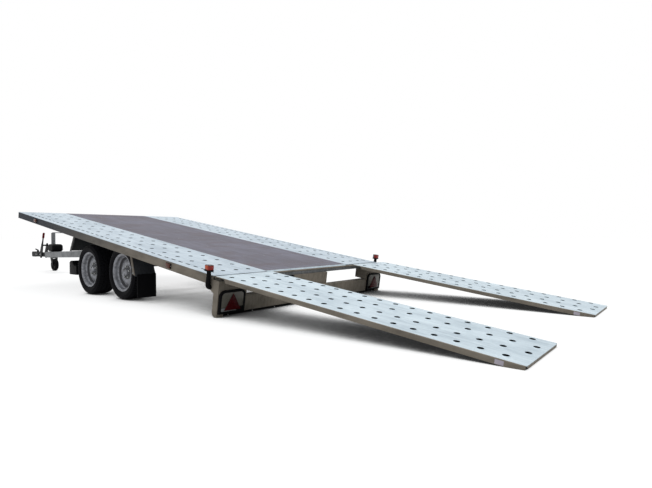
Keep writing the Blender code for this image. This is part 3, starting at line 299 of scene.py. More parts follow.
# %% [markdown]
# Wheels, bolts and sliding rods are the brightest things on the trailer. A fine brushed
# noise mixes a pale and a dull tone and makes the dull parts rougher.

# %% Bright metal
def bright(name, pale, dull, roughness, metallic):
    made = Finish(name, metallic=metallic)
    brushed = made.cloud(40.0, 4, rough=0.6)
    mask = made.step(brushed, 0.35, 0.7)
    made.set("Base Color", made.mix(mask, paint(*pale), paint(*dull)))
    made.set("Roughness", mask * 0.14 + roughness)
    made.bump(made.cloud(120.0, 3), 0.0002, 0.3)
    return made


silver_paint = bright("silver paint", (156, 158, 165), (118, 118, 122), 0.42, 0.25)
bright_steel = bright("bright steel", (190, 192, 194), (140, 141, 142), 0.28, 0.75)
bolt_zinc = bright("bolt zinc", (168, 170, 170), (118, 118, 116), 0.38, 0.6)
print("bright finishes made")

# %% [markdown]
# A lens is one colour with a coat over it and a relief of small prisms behind it. Real
# glass would let the light through to a bulb; an opaque shader is enough here, because the
# lamps are off and their lenses look solid in daylight.

# %% Lenses
def lens(name, colour, shade, ribs=420.0, shine=0.3):
    made = Finish(name, roughness=0.24, Coat_Weight=shine / 3, Specular_IOR_Level=shine)
    wave_a = made.node("ShaderNodeTexWave", {"bands_direction": "X"},
                       {"Vector": made.place(), "Scale": ribs / 6})
    wave_b = made.node("ShaderNodeTexWave", {"bands_direction": "Z"},
                       {"Vector": made.place(), "Scale": ribs / 6})
    relief = wave_a * wave_b
    cloud = made.cloud(18.0, 3)
    made.set("Base Color", made.mix(made.step(relief * 0.6 + cloud * 0.4, 0.1, 0.8),
                                    paint(*shade), paint(*colour)))
    made.set("Roughness", cloud * 0.12 + 0.16)
    made.bump(relief, 0.0008, 0.5)
    return made


red_lens = lens("red lens", (104, 4, 12), (60, 2, 8), shine=0.1)
amber_lens = lens("amber lens", (112, 56, 34), (74, 36, 24), shine=0.15)
orange_lens = lens("orange lens", (246, 124, 52), (196, 66, 26))
head_red = lens("head red lens", (190, 46, 32), (124, 22, 18))
head_dark = lens("head top", (70, 18, 18), (36, 12, 12))
clear_lens = lens("clear lens", (134, 130, 120), (100, 96, 88), 240.0)
pale_lens = lens("pale lens", (168, 172, 172), (128, 130, 130), 240.0)
print("lens finishes made")

# %% [markdown]
# Most parts of a trailer are cut from sheet, folded, or turned on a lathe. These first
# makers give a box, an outline drawn along an axis, and a profile spun round an axis. All
# of them lay out rings of points and close the skin between one ring and the next.

# %% Boxes, drawn outlines and turnings
def skinned(made, rings, endless=False):
    """Faces between each ring of points and the next, and from the last to the first."""
    for near, far in zip(rings, rings[1:] + (rings[:1] if endless else [])):
        for i in range(len(near)):
            following = (i + 1) % len(near)
            made.faces.new((near[i], near[following], far[following], far[i]))


def capped(made, rings):
    """Closes both ends and turns every face outwards."""
    made.faces.new(rings[0])
    made.faces.new(rings[-1])
    bmesh.ops.recalc_face_normals(made, faces=made.faces[:])
    return made


def softened(shape, width, segments=2):
    """Rounds the sharp edges, as a press or a casting leaves them."""
    edges = [edge for edge in shape.edges if edge.is_manifold
             and edge.calc_face_angle(0) > math.radians(35)]
    bmesh.ops.bevel(shape, geom=edges, offset=width, segments=segments, profile=0.5,
                    affect="EDGES", clamp_overlap=True)
    return shape


def block(low, high, soft=0.0):
    """A box between two corners."""
    made = bmesh.new()
    bmesh.ops.create_cube(made, size=1.0)
    for vert in made.verts:
        vert.co = Vector([low[i] + (vert.co[i] + 0.5) * (high[i] - low[i]) for i in range(3)])
    return softened(made, soft) if soft else made


def across(sign, near, far):
    """Both ends of a piece on one side of the trailer, the smaller X first."""
    return sorted((sign * near, sign * far))


def drawn(outline, axis, start, stop, soft=0.0):
    """An outline of the other two coordinates, drawn along one axis."""
    made = bmesh.new()
    rings = []
    for along in (start, stop):
        places = [list(point) for point in outline]
        for place in places:
            place.insert(axis, along)
        rings.append([made.verts.new(place) for place in places])
    skinned(made, rings)
    capped(made, rings)
    return softened(made, soft) if soft else made


def circle(x, y, radius, count=20):
    return [(x + radius * math.cos(math.tau * i / count),
             y + radius * math.sin(math.tau * i / count)) for i in range(count)]


def turned(profile, segments=48, axis="X", at=(0, 0, 0)):
    """Points of (along the axis, radius), spun round the axis; the ends stay open."""
    made = bmesh.new()
    rings = []
    for along, radius in profile:
        if radius < 1e-6:
            rings.append([made.verts.new((along, 0, 0))])
        else:
            rings.append([made.verts.new((along, y, z))
                          for y, z in circle(0, 0, radius, segments)])
    for near, far in zip(rings, rings[1:]):
        for i in range(segments):
            following = (i + 1) % segments
            corners = [near[i % len(near)], near[following % len(near)],
                       far[following % len(far)], far[i % len(far)]]
            made.faces.new(list(dict.fromkeys(corners)))
    spin = {"X": Matrix(), "Y": Matrix.Rotation(math.pi / 2, 4, "Z"),
            "Z": Matrix.Rotation(-math.pi / 2, 4, "Y")}[axis]
    made.transform(Matrix.Translation(at) @ spin)
    bmesh.ops.recalc_face_normals(made, faces=made.faces[:])
    return made


print("boxes, outlines and turnings ready")

# %% [markdown]
# Levers, hoses and bolts. A flat lever is the outline round two circles. A hose or a round
# bar is a ring carried along a path and turned with it, so that it doesn't twist.

# %% Arcs, levers, tubes and bolts
def joined(*shapes):
    """Several shapes as one, still separate shells."""
    for shape in shapes[1:]:
        spare = bpy.data.meshes.new("spare")
        shape.to_mesh(spare)
        shape.free()
        shapes[0].from_mesh(spare)
        bpy.data.meshes.remove(spare)
    return shapes[0]


def arc(centre, radius, start, stop, steps):
    """Points on an arc, its angles in degrees."""
    made = []
    for i in range(steps + 1):
        turn = math.radians(start + (stop - start) * i / steps)
        made.append((centre[0] + radius * math.cos(turn), centre[1] + radius * math.sin(turn)))
    return made


def link(first, first_radius, second, second_radius, steps=14):
    """The outline round two circles, as of a flat lever."""
    way = math.degrees(math.atan2(second[1] - first[1], second[0] - first[0]))
    apart = math.dist(first, second)
    lean = math.degrees(math.acos((first_radius - second_radius) / apart))
    outline = arc(first, first_radius, way + lean, way + 360 - lean, 2 * steps)
    return outline + arc(second, second_radius, way - lean, way + lean, steps)


def tube(path, radius, segments=12):
    """A round bar or hose along a path; the radius may change from point to point."""
    made = bmesh.new()
    points = [Vector(point) for point in path]
    sizes = radius if isinstance(radius, list) else [radius] * len(points)
    rings = []
    upright = abs((points[1] - points[0]).normalized().z) >= 0.9
    side = Vector((1, 0, 0)) if upright else Vector((0, 0, 1))
    for i, here in enumerate(points):
        ahead = points[min(i + 1, len(points) - 1)] - points[max(i - 1, 0)]
        ahead.normalize()
        out = ahead.cross(side).normalized()
        side = out.cross(ahead).normalized()
        rings.append([made.verts.new(here + out * a + side * b)
                      for a, b in circle(0, 0, sizes[i], segments)])
    skinned(made, rings)
    return capped(made, rings)


def bolt(at, axis, size=0.008, way=1):
    """A hexagon head on a round washer, its face towards way along the axis."""
    head = size * 1.15
    profile = [(0.0, size * 1.35), (way * size * 0.2, size * 1.3), (way * size * 0.2, head)]
    washer = turned([(0.0, 0.0), *profile[:2], (way * size * 0.25, 0.0)], 20, axis, at)
    nut = turned([(way * size * 0.2, head), (way * size * 0.8, head),
                  (way * size * 0.95, head * 0.86), (way * size * 0.95, 0.0)], 6, axis, at)
    return joined(washer, nut)


print("levers, tubes and bolts ready")

# %% [markdown]
# The builder joins shapes into one object, gives each its finish, and hands the object to
# the body that it rides on. Where it stands for a CAD solid, that solid is named too, so
# that only one of them shows.

# %% The builder
made_pieces = []


def build(name, body, parts, place, stands_for=(), angle=38):
    """Joins (shape, finish) pairs into one object at its place, riding on a body."""
    mesh = bpy.data.meshes.new(name)
    whole = bmesh.new()
    finishes = []
    for shape, finish in parts:
        if finish not in finishes:
            finishes.append(finish)
        start = len(whole.faces)
        joined(whole, shape)
        whole.faces.ensure_lookup_table()
        for face in whole.faces[start:]:
            face.material_index = finishes.index(finish)
    whole.transform(place)
    whole.to_mesh(mesh)
    whole.free()
    mesh.shade_smooth()
    mesh.set_sharp_from_angle(angle=math.radians(angle))
    for finish in finishes:
        mesh.materials.append(finish.material)
    made = bpy.data.objects.new(name, mesh)
    bpy.context.scene.collection.objects.link(made)
    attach(made, body)
    if stands_for:
        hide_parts(*stands_for)
    made_pieces.append(made)


print("builder ready")

# %% [markdown]
# Punched plates carry the cars on this trailer. Each hole is pressed through with a small
# raised collar, which gives the tyres grip. Boolean cuts would be slow and would leave long
# thin faces, so the outline and all the holes go into one constrained triangulation, and the
# triangles inside the holes are left out.

# %% Punched plate
def long_slot(x, y, length, width):
    round_end, shift = width / 2, (length - width) / 2
    return (arc((x, y + shift), round_end, 0, 180, 8)
            + arc((x, y - shift), round_end, 180, 360, 8))


def inside(point, loop):
    hit = False
    for (ax, ay), (bx, by) in zip(loop, loop[1:] + loop[:1]):
        if (ay > point[1]) != (by > point[1]):
            if point[0] < (bx - ax) * (point[1] - ay) / (by - ay) + ax:
                hit = not hit
    return hit


def punched(outline, loops, top):
    """A flat sheet with holes, its upper face at top."""
    points, edges = [], []
    for loop in [outline, *loops]:
        start = len(points)
        points += [Vector(point) for point in loop]
        edges += [(start + i, start + (i + 1) % len(loop)) for i in range(len(loop))]
    verts, _, faces, _, _, _ = delaunay_2d_cdt(points, edges, [], 1, 1e-6)
    boxes = [(min(p[0] for p in loop), max(p[0] for p in loop), min(p[1] for p in loop),
              max(p[1] for p in loop), loop) for loop in loops]
    made = bmesh.new()
    upper = [made.verts.new((point.x, point.y, top)) for point in verts]
    for face in faces:
        x = sum(verts[i].x for i in face) / len(face)
        y = sum(verts[i].y for i in face) / len(face)
        if any(a < x < b and c < y < d and inside((x, y), loop) for a, b, c, d, loop in boxes):
            continue
        made.faces.new([upper[i] for i in face])
    bmesh.ops.recalc_face_normals(made, faces=made.faces[:])
    if made.faces[:][0].normal.z < 0:
        bmesh.ops.reverse_faces(made, faces=made.faces[:])
    rim = [edge for edge in made.edges if edge.is_boundary]
    grown = bmesh.ops.extrude_edge_only(made, edges=rim)
    low = [item for item in grown["geom"] if isinstance(item, bmesh.types.BMVert)]
    bmesh.ops.translate(made, verts=low, vec=(0, 0, -SHEET))
    return made


print("punched plate ready")

# %% [markdown]
# Each round hole then gets a small turned ring as its collar and a tube as its throat, and a
# slot gets an upright wall, so that the plate looks pressed and not just cut. Throats and
# walls are painted dark, as the shade inside the holes.

# %% Collars and throats
def collar(x, y, top, radius, height=0.0025):
    """The pressed rim of a hole: up from the plate and over to its edge."""
    width = 0.006
    profile = [(top + 0.0001, radius + width), (top + height * 0.7, radius + width * 0.45),
               (top + height, radius + width * 0.15), (top + height * 0.85, radius - 0.0004)]
    return turned(profile, 20, "Z", (x, y, 0))


def throat(x, y, top, radius, height=0.0025):
    """The inside of a hole, from the collar's edge down below the plate, painted dark as shade."""
    depth = 0.007
    profile = [(top + height * 0.85, radius - 0.0004), (top + height * 0.4, radius - 0.0009),
               (top - depth, radius - 0.0012)]
    return turned(profile, 20, "Z", (x, y, 0))


def slot_wall(outline, high, low):
    """The upright wall along a closed outline."""
    made = bmesh.new()
    skinned(made, [[made.verts.new((x, y, z)) for x, y in outline] for z in (high, low)])
    return made


print("collars and throats ready")

# %% [markdown]
# The bed's runways lie on both sides of the board: three rows of round holes, and a row of
# long slots by the rail. They're cut through, because the frame shows through them. The
# plate keeps the place and the size of the CAD sheet that it stands for.

# %% Runways
HOLE_ROWS = (0.626, 0.748, 0.873)
SLOT_ROW = 0.977
BOARD_EDGE = 0.5253
RUN_HOLE = 0.019
RUN_PITCH = 0.218
FIRST_HOLE = REAR - 0.13
for side, sign in SIDES:
    near, far = sign * BOARD_EDGE, sign * HALF
    outline = [(near, FRONT), (far, FRONT), (far, REAR), (near, REAR)]
    loops, collars, throats = [], [], []
    count = int((REAR - FRONT) / RUN_PITCH)
    for i in range(count):
        for x in HOLE_ROWS:
            at = (sign * x, FIRST_HOLE - RUN_PITCH * i)
            loops.append(circle(*at, RUN_HOLE))
            collars.append(collar(*at, DECK, RUN_HOLE, 0.002))
            throats.append(throat(*at, DECK, RUN_HOLE, 0.002))
    for i in range(2 * count - 1):
        at = (sign * SLOT_ROW, FIRST_HOLE - RUN_PITCH / 2 * i)
        loops.append(long_slot(*at, 0.062, 0.016))
        throats.append(slot_wall(long_slot(*at, 0.0618, 0.0158), DECK - 0.0002, DECK - 0.008))
    plate = punched(outline, loops, DECK)
    # The throats and slot walls carry painted shade.
    build(f"runway_plate_{side}", "bed", [(joined(plate, *collars), zinc_plate),
                                          (joined(*throats), hole_shade)], BED,
          [f"runway_{side}"])
    print("runway", side, len(loops), "holes")

# %% [markdown]
# Each ramp is one sheet folded down along both sides. Two hooks at its head go round the
# rod on the bed, and its end is cut back so that it lies flat on the ground. The fold is a
# swept strip, so its edge stays round, and the head, the taper and the end lip follow the
# CAD solid.

# %% Ramp folds and hooks
RAMP_TOP = 0.0115
RAMP_LENGTH = 2.385
RAMP_HALF = 0.280
RAMP_DEPTH = 0.032
FLANGE_START = 0.130
TOUCH = 2.285
TIP_LIP = 0.0194
ROD_RADIUS = 0.0085


def flange_depth(y):
    """How deep the folded side is at a place along the ramp."""
    if y < FLANGE_START:
        start = FLANGE_START - RAMP_DEPTH / 2
        return SHEET + (RAMP_DEPTH - SHEET) * max(0.0, (y - start) / (FLANGE_START - start))
    if y > TOUCH:
        return RAMP_DEPTH + (TIP_LIP - RAMP_DEPTH) * (y - TOUCH) / (RAMP_LENGTH - TOUCH)
    return RAMP_DEPTH


def folded_side(sign):
    """The fold and the flange of one side, as a strip with a thickness."""
    bend = 0.005
    stations = [0.004, 0.060, FLANGE_START - 0.016, FLANGE_START - 0.008, FLANGE_START]
    stations += [FLANGE_START + (TOUCH - FLANGE_START) * i / 16 for i in range(1, 17)]
    stations += [TOUCH + (RAMP_LENGTH - 0.004 - TOUCH) * i / 5 for i in range(1, 6)]
    made = bmesh.new()
    rings = []
    for y in stations:
        depth = max(flange_depth(y), bend + 0.0005)
        outer = [(RAMP_HALF - bend, RAMP_TOP)]
        outer += arc((RAMP_HALF - bend, RAMP_TOP - bend), bend, 75, 0, 5)
        outer.append((RAMP_HALF, RAMP_TOP - depth))
        inner = [(RAMP_HALF - SHEET, RAMP_TOP - depth)]
        inner += arc((RAMP_HALF - bend, RAMP_TOP - bend), bend - SHEET, 0, 90, 3)
        rings.append([made.verts.new((sign * x, y, z)) for x, z in outer + inner])
    skinned(made, rings)
    return capped(made, rings)


def ramp_hook(middle):
    """A flat hook from the ramp's head round the rod."""
    skin = 0.0004
    outline = [(0.030, RAMP_TOP - skin)] + arc((0, 0), RAMP_TOP - skin, 90, 240, 24)
    outline += arc((0, 0), ROD_RADIUS, 240, 90, 24) + [(0.030, ROD_RADIUS + skin)]
    return drawn(outline, 0, middle - 0.035, middle + 0.035)


print("ramp fold", RAMP_DEPTH, "deep over", RAMP_LENGTH)

# %% [markdown]
# The tread of a ramp has 68 collared holes in four rows. The inner rows are shifted by half
# a pitch against the outer ones, so that a tyre always meets an edge. A blank pale label
# sits on the outer fold near the toe of the ramp.

# %% Ramps
OUTER_ROWS = (0.204, -0.225)
INNER_ROWS = (0.061, -0.082)
FIRST_RAMP_HOLE = 0.103
HOLES_IN_RAMP_ROW = 17
RAMP_PITCH = 0.1347
RAMP_HOLE = 0.0195
for side, sign in SIDES:
    edge = RAMP_HALF - 0.005
    corner = 0.012
    outline = [(-edge, 0.004), (edge, 0.004)]
    outline += arc((edge - corner, RAMP_LENGTH - corner), corner, 0, 90, 5)
    outline += arc((-edge + corner, RAMP_LENGTH - corner), corner, 90, 180, 5)
    loops, collars, throats = [], [], []
    for rows, shift in ((OUTER_ROWS, 0.0), (INNER_ROWS, RAMP_PITCH / 2)):
        for x in rows:
            for i in range(HOLES_IN_RAMP_ROW):
                at = (x, FIRST_RAMP_HOLE + shift + RAMP_PITCH * i)
                loops.append(circle(*at, RAMP_HOLE))
                collars.append(collar(*at, RAMP_TOP, RAMP_HOLE))
                throats.append(throat(*at, RAMP_TOP, RAMP_HOLE))
    plate = punched(outline, loops, RAMP_TOP)
    lip = [(-edge + 0.004, RAMP_TOP - SHEET), (edge - 0.004, RAMP_TOP - SHEET),
           (edge - 0.03, RAMP_TOP - TIP_LIP), (-edge + 0.03, RAMP_TOP - TIP_LIP)]
    lip = drawn(lip, 1, RAMP_LENGTH - SHEET - 0.0005, RAMP_LENGTH - 0.0005)
    # The throats carry painted shade.
    parts = [(joined(plate, *collars, ramp_hook(-0.12), ramp_hook(0.12)), zinc_ramp),
             (joined(folded_side(1), folded_side(-1), lip), shaded_zinc_side),
             (joined(*throats), hole_shade)]
    label = block((RAMP_HALF, 2.231, RAMP_TOP - 0.0295), (RAMP_HALF + 0.0004, 2.277,
                                                          RAMP_TOP - 0.006))
    parts.append((label, label_white))
    build(f"ramp_plate_{side}", f"ramp_{side}", parts, RAMPS[side], [f"ramp_tread_{side}"])
    print("ramp", side, len(loops), "holes")

# %% [markdown]
# The deck board gets the same box as its CAD solid with edges rounded by use, and rows of
# countersunk screw heads along its sides and over the cross members. A sloped metal strip
# guards its rear edge, where the cars' tyres come on.

# %% Deck board
BOARD_HALF = 0.525
STRIP_FRONT = REAR - 0.0165
board = block((-BOARD_HALF, FRONT, DECK - 0.018), (BOARD_HALF, STRIP_FRONT, DECK - 0.0001),
              0.0015)
skin = block((-BOARD_HALF + 0.0015, FRONT + 0.0015, DECK - 0.0004),
             (BOARD_HALF - 0.0015, STRIP_FRONT - 0.0005, DECK + 0.0001))
strip = drawn([(STRIP_FRONT, DECK - 0.0175), (STRIP_FRONT, DECK + 0.0016),
               (REAR - 0.0130, DECK + 0.0016), (REAR, DECK - 0.0110), (REAR, DECK - 0.0175)],
              0, -BOARD_HALF, BOARD_HALF)
screws = []
for y in (FRONT + 0.025, -1.56, -1.05, -0.45, 0.30, 0.85, 1.45, REAR - 0.025):
    for x in (-0.50, -0.25, 0.0, 0.25, 0.50):
        screws.append(turned([(DECK + 0.0001, 0.0062), (DECK + 0.0012, 0.0056),
                              (DECK + 0.0013, 0.002), (DECK + 0.0004, 0.0)], 14, "Z",
                             (x, y, 0)))
build("board_panel", "bed", [(board, board_edge), (skin, board_top), (strip, zinc_ramp),
                             (joined(*screws), bolt_zinc)], BED, ["deck_board"])
print("deck board with", len(screws), "screws")

# %% [markdown]
# The tyres are 13 inch, 195 mm wide. A carcass could be one smooth lathe turning, but the
# tread is what makes it a tyre, so the turning is drawn as a grid and its tread points are
# pushed in where a groove runs: three straight grooves round, and slanted cuts between
# them. The side wall has fine rings.

# %% Tyres
AXLE_Z = 0.2625
WHEEL_X = 0.8905
TYRE_WIDTH = 0.195
TREAD_HALF = 0.084


def tyre_shape(sign, place):
    """A grooved carcass round the X axis at its place."""
    half = TYRE_WIDTH / 2
    wall = [(0.0760, 0.1800), (0.0800, 0.1838), (0.0850, 0.1862), (0.0886, 0.1890),
            (0.0898, 0.1915), (0.0908, 0.1912), (0.0935, 0.1985), (0.0958, 0.2070),
            (half - 0.0005, 0.2170), (half, 0.2250), (half - 0.0006, 0.2310), (0.0960, 0.2318),
            (0.0935, 0.2380), (0.0925, 0.2384), (0.0895, 0.2455), (0.0862, 0.2520)]
    tread = []
    steps = 40
    for i in range(steps + 1):
        x = TREAD_HALF * (1 - 2 * i / steps)
        tread.append((x, AXLE_Z - 0.0085 * abs(x / TREAD_HALF) ** 3.2))
    profile = wall + tread + [(-x, r) for x, r in wall[::-1]]
    profile += [(-0.0500, 0.1670), (0.0500, 0.1670)]
    first = len(wall)
    count, cuts = 240, 60
    made = bmesh.new()
    grid = []
    for i in range(count):
        turn = math.tau * i / count
        ring = []
        for j, (x, radius) in enumerate(profile):
            if first <= j <= first + steps:
                band = abs(x)
                straight = band < 0.0045 or 0.034 < band < 0.0425
                lean = turn * cuts + 2.6 * band / TREAD_HALF
                cut = (lean / math.tau) % 1.0 < 0.24 and band > 0.0045
                if straight:
                    radius -= 0.0075
                elif cut and not 0.018 < band < 0.024:
                    radius -= 0.0045
            ring.append(made.verts.new((sign * x, radius * math.cos(turn),
                                        radius * math.sin(turn))))
        grid.append(ring)
    skinned(made, grid, endless=True)
    made.transform(Matrix.Translation(place))
    bmesh.ops.recalc_face_normals(made, faces=made.faces[:])
    return made


for side, sign in SIDES:
    for end, y in AXLES:
        place = (sign * WHEEL_X, y, AXLE_Z)
        build(f"tread_tyre_{side}_{end}", f"wheel_{side}_{end}",
              [(tyre_shape(sign, place), tyre_rubber)], CHASSIS, [f"tyre_{side}_{end}"],
              angle=50)
print("tyres made")

# %% [markdown]
# A pressed steel wheel is turned from the same stations as the CAD rim, with every corner
# rounded: the flange that holds the tyre, the well, the disc with its raised ring, and the
# dust cap. Ten shallow dents mark the disc's outer part; the dents, the well and the seat
# round the cap are painted darker, as shade. Five wheel bolts stand on the disc and a valve
# comes through the rim.

# %% Wheels
BOLT_CIRCLE = 0.056
DENT_CIRCLE = 0.1125
VALVE_CIRCLE = 0.143


def wheel_parts(sign, place):
    """Profiles of (out from the disc's or the rim's middle, radius), spun round the axle."""
    x, y, z = place
    face = 0.030
    cap = [(0.0270, 0.0), (0.0268, 0.012), (0.0255, 0.022), (0.0215, 0.0285), (0.014, 0.0305),
           (0.006, 0.0320)]
    seat = [(0.006, 0.0320), (0.0042, 0.0345), (0.0040, 0.040), (0.0040, 0.068)]
    disc = [(0.0040, 0.068), (0.0048, 0.073), (0.0080, 0.081), (0.0105, 0.088), (0.0112, 0.093),
            (0.0100, 0.099), (0.0060, 0.108), (0.0010, 0.121), (-0.0018, 0.129)]
    groove = [(-0.0018, 0.129), (-0.0040, 0.1350), (-0.0055, 0.1405), (-0.0040, 0.1440),
              (0.0, 0.1452), (0.0070, 0.1466), (0.0110, 0.1510)]
    barrel = [(0.0410, 0.1510), (0.0470, 0.1575), (0.0540, 0.1602), (0.0640, 0.1616)]
    flange = [(0.0640, 0.1616), (0.0745, 0.1634), (0.0790, 0.1672), (0.0812, 0.1725),
              (0.0832, 0.1785), (0.0850, 0.1812), (0.0846, 0.1828), (0.0826, 0.1832),
              (0.0802, 0.1815), (0.0788, 0.1760), (0.0780, 0.1680)]
    inner = [(0.050, 0.1652), (0.036, 0.1490), (-0.020, 0.1490), (-0.036, 0.1645),
             (-0.0690, 0.1658), (-0.0698, 0.1775), (-0.0752, 0.1786), (-0.0730, 0.1640),
             (-0.0640, 0.1620), (-0.0380, 0.1600), (-0.0240, 0.1442), (0.020, 0.1436),
             (0.020, 0.1160), (-0.046, 0.1160), (-0.050, 0.1120), (-0.050, 0.0210)]

    def spun(profile, shift=0.0):
        profile = [(sign * (shift + along), radius) for along, radius in profile]
        return turned(profile, 96, "X", place)

    def on_disc(out, radius, turn):
        return Vector((x + sign * out, y + radius * math.cos(turn), z + radius * math.sin(turn)))

    bolts, dents = [], []
    for i in range(5):
        at = on_disc(face + 0.0038, BOLT_CIRCLE, math.tau * (i + 0.25) / 5)
        bolts.append(turned([(0.0, 0.0135), (sign * 0.003, 0.0125), (sign * 0.0035, 0.0098)],
                            18, "X", at))
        bolts.append(turned([(0.0, 0.0098), (sign * 0.0145, 0.0098), (sign * 0.0165, 0.0082),
                             (sign * 0.0168, 0.0)], 6, "X", at))
    for i in range(10):
        at = on_disc(face + 0.0033, DENT_CIRCLE, math.tau * (i + 0.5) / 10)
        dents.append(turned([(0.0, 0.0085), (sign * 0.0010, 0.0080), (sign * 0.0004, 0.0)], 16,
                            "X", at))
    foot = on_disc(0.040, VALVE_CIRCLE, math.radians(35))
    valve = tube([foot, foot + Vector((sign * 0.012, -0.004, -0.003)),
                  foot + Vector((sign * 0.030, -0.008, -0.006))], [0.006, 0.0045, 0.0035], 10)
    # The seat, the well and the dents carry painted shade.
    return [(joined(spun(cap, face), spun(disc, face), spun(barrel), spun(flange), spun(inner)),
             silver_paint),
            (joined(spun(seat, face), spun(groove, face), *dents), painted_wheel_shade),
            (joined(*bolts), bolt_zinc), (valve, black_rubber)]


for side, sign in SIDES:
    for end, y in AXLES:
        build(f"pressed_wheel_{side}_{end}", f"wheel_{side}_{end}",
              wheel_parts(sign, (sign * WHEEL_X, y, AXLE_Z)), CHASSIS,
              [f"wheel_{side}_{end}"], angle=32)
print("wheels made")

# %% [markdown]
# A tail lamp is a black housing with a wide lens. The lens is drawn from the housing's
# outline, set in by its rim, and cut in a large upper field, a pale strip below and a
# small dark field beside it. The red triangle stands on it, its field of fine prisms a
# little raised above a plain border. The outline is the CAD lamp's, so the lamp keeps its
# place on the bar.

# %% Tail lamps
LAMP_TOP = DECK - 0.102
LAMP_LOW = LAMP_TOP - 0.184
LAMP_FACE = BUMPER_REAR + 0.018
LAMP_HALF = 0.119
LAMP_RIM = 0.019
TRIANGLE_SIDE = 0.150


def lamp_outline(centre, inset, low, high):
    half, corner = LAMP_HALF - inset, 0.050 - inset
    outline = arc((centre + half - corner, high - corner), corner, 0, 90, 10)
    outline += arc((centre - half + corner, high - corner), corner, 90, 180, 10)
    return outline + [(centre - half, low), (centre + half, low)]


def ring_plate(outer, hollow, start, stop):
    """A flat frame between two outlines of as many points."""
    made = bmesh.new()
    rings = []
    for outline, along in ((outer, start), (outer, stop), (hollow, stop), (hollow, start)):
        rings.append([made.verts.new((x, along, z)) for x, z in outline])
    skinned(made, rings, endless=True)
    bmesh.ops.recalc_face_normals(made, faces=made.faces[:])
    return softened(made, 0.0018)


for side, sign in SIDES:
    centre = sign * (HALF - 0.006 - LAMP_HALF)
    back = BUMPER_REAR + SEAT
    housing = drawn(lamp_outline(centre, 0.0, LAMP_LOW, LAMP_TOP), 1, back, LAMP_FACE - 0.006,
                    0.002)
    outer = lamp_outline(centre, 0.0015, LAMP_LOW + 0.0015, LAMP_TOP - 0.0015)
    hollow = lamp_outline(centre, LAMP_RIM, LAMP_LOW + LAMP_RIM, LAMP_TOP - LAMP_RIM)
    rim = ring_plate(outer, hollow, LAMP_FACE - 0.007, LAMP_FACE)
    lens_low = LAMP_LOW + 0.048
    field = drawn(lamp_outline(centre, 0.0185, lens_low, LAMP_TOP - 0.0185), 1,
                  LAMP_FACE - 0.007, LAMP_FACE - 0.002, 0.0015)
    split = centre - sign * 0.040
    ends = sorted((split, centre + sign * 0.100))
    strip = block((ends[0], LAMP_FACE - 0.007, LAMP_LOW + LAMP_RIM),
                  (ends[1], LAMP_FACE - 0.002, lens_low - 0.003), 0.0015)
    ends = sorted((centre - sign * 0.0995, split - sign * 0.002))
    dark = block((ends[0], LAMP_FACE - 0.007, LAMP_LOW + LAMP_RIM),
                 (ends[1], LAMP_FACE - 0.003, lens_low - 0.003), 0.0015)
    build(f"lamp_unit_{side}", "bed",
          [(joined(housing, rim), black_plastic), (field, clear_lens), (strip, pale_lens),
           (dark, black_plastic)], BED, [f"tail_lamp_{side}"])
    half, rise = TRIANGLE_SIDE / 2, TRIANGLE_SIDE / 2 * math.sqrt(3)
    low = (LAMP_TOP + LAMP_LOW) / 2 - rise / 2
    corners = [(centre - half, low), (centre + half, low), (centre, low + rise)]
    middle = (centre, low + rise / 3)
    small = [(middle[0] + (x - middle[0]) * 0.84, middle[1] + (z - middle[1]) * 0.84)
             for x, z in corners]
    face = LAMP_FACE + SEAT
    frame_plate = drawn(corners, 1, face, face + 0.0045, 0.0012)
    prisms = drawn(small, 1, face + 0.003, face + 0.006, 0.0008)
    build(f"red_triangle_{side}", "bed",
          [(joined(frame_plate, prisms), red_lens)], BED,
          [f"triangle_reflector_{side}"])
print("tail lamps made")

# %% [markdown]
# The bar that stands on the ground is set back below its folded face. A black strip in that
# recess paints its shade: a long bar with a row of flat studs on its outer face.

# %% Shade strip under the bar
SHADE_STRIP_HALF = HALF - 0.062
STUD_PITCH = 0.235
shade_strip_top = DECK - 0.2955
shade_strip_low = DECK - 0.3091
shade_strip_face = BUMPER_REAR - 0.022 + SEAT
# Painted shade: a black block in the recess under the bar.
strip = block((-SHADE_STRIP_HALF, shade_strip_face, shade_strip_low), (SHADE_STRIP_HALF, shade_strip_face + 0.013, shade_strip_top), 0.002)
studs = [turned([(0.0, 0.0052), (0.0016, 0.0050), (0.0020, 0.0)], 14, "Y",
                (STUD_PITCH * i, shade_strip_face + 0.013, (shade_strip_top + shade_strip_low) / 2))
         for i in range(-4, 5)]
build("bar_shade_strip", "bed", [(strip, black_rubber), (joined(*studs), bolt_zinc)], BED)
print("foot strip made")

# %% [markdown]
# The outline lamps stand on thick rubber arms that leave the rear posts sideways and turn
# up, so that they spring back when they touch a wall. The arm is a tube along a smooth
# path, thicker at its foot and ringed near its neck; the head is a black base with a dark
# lid, an orange lens outside, a red one to the rear and a pale one to the front. The arm
# reaches out less than the CAD solid's, which puts the head where the real one is.

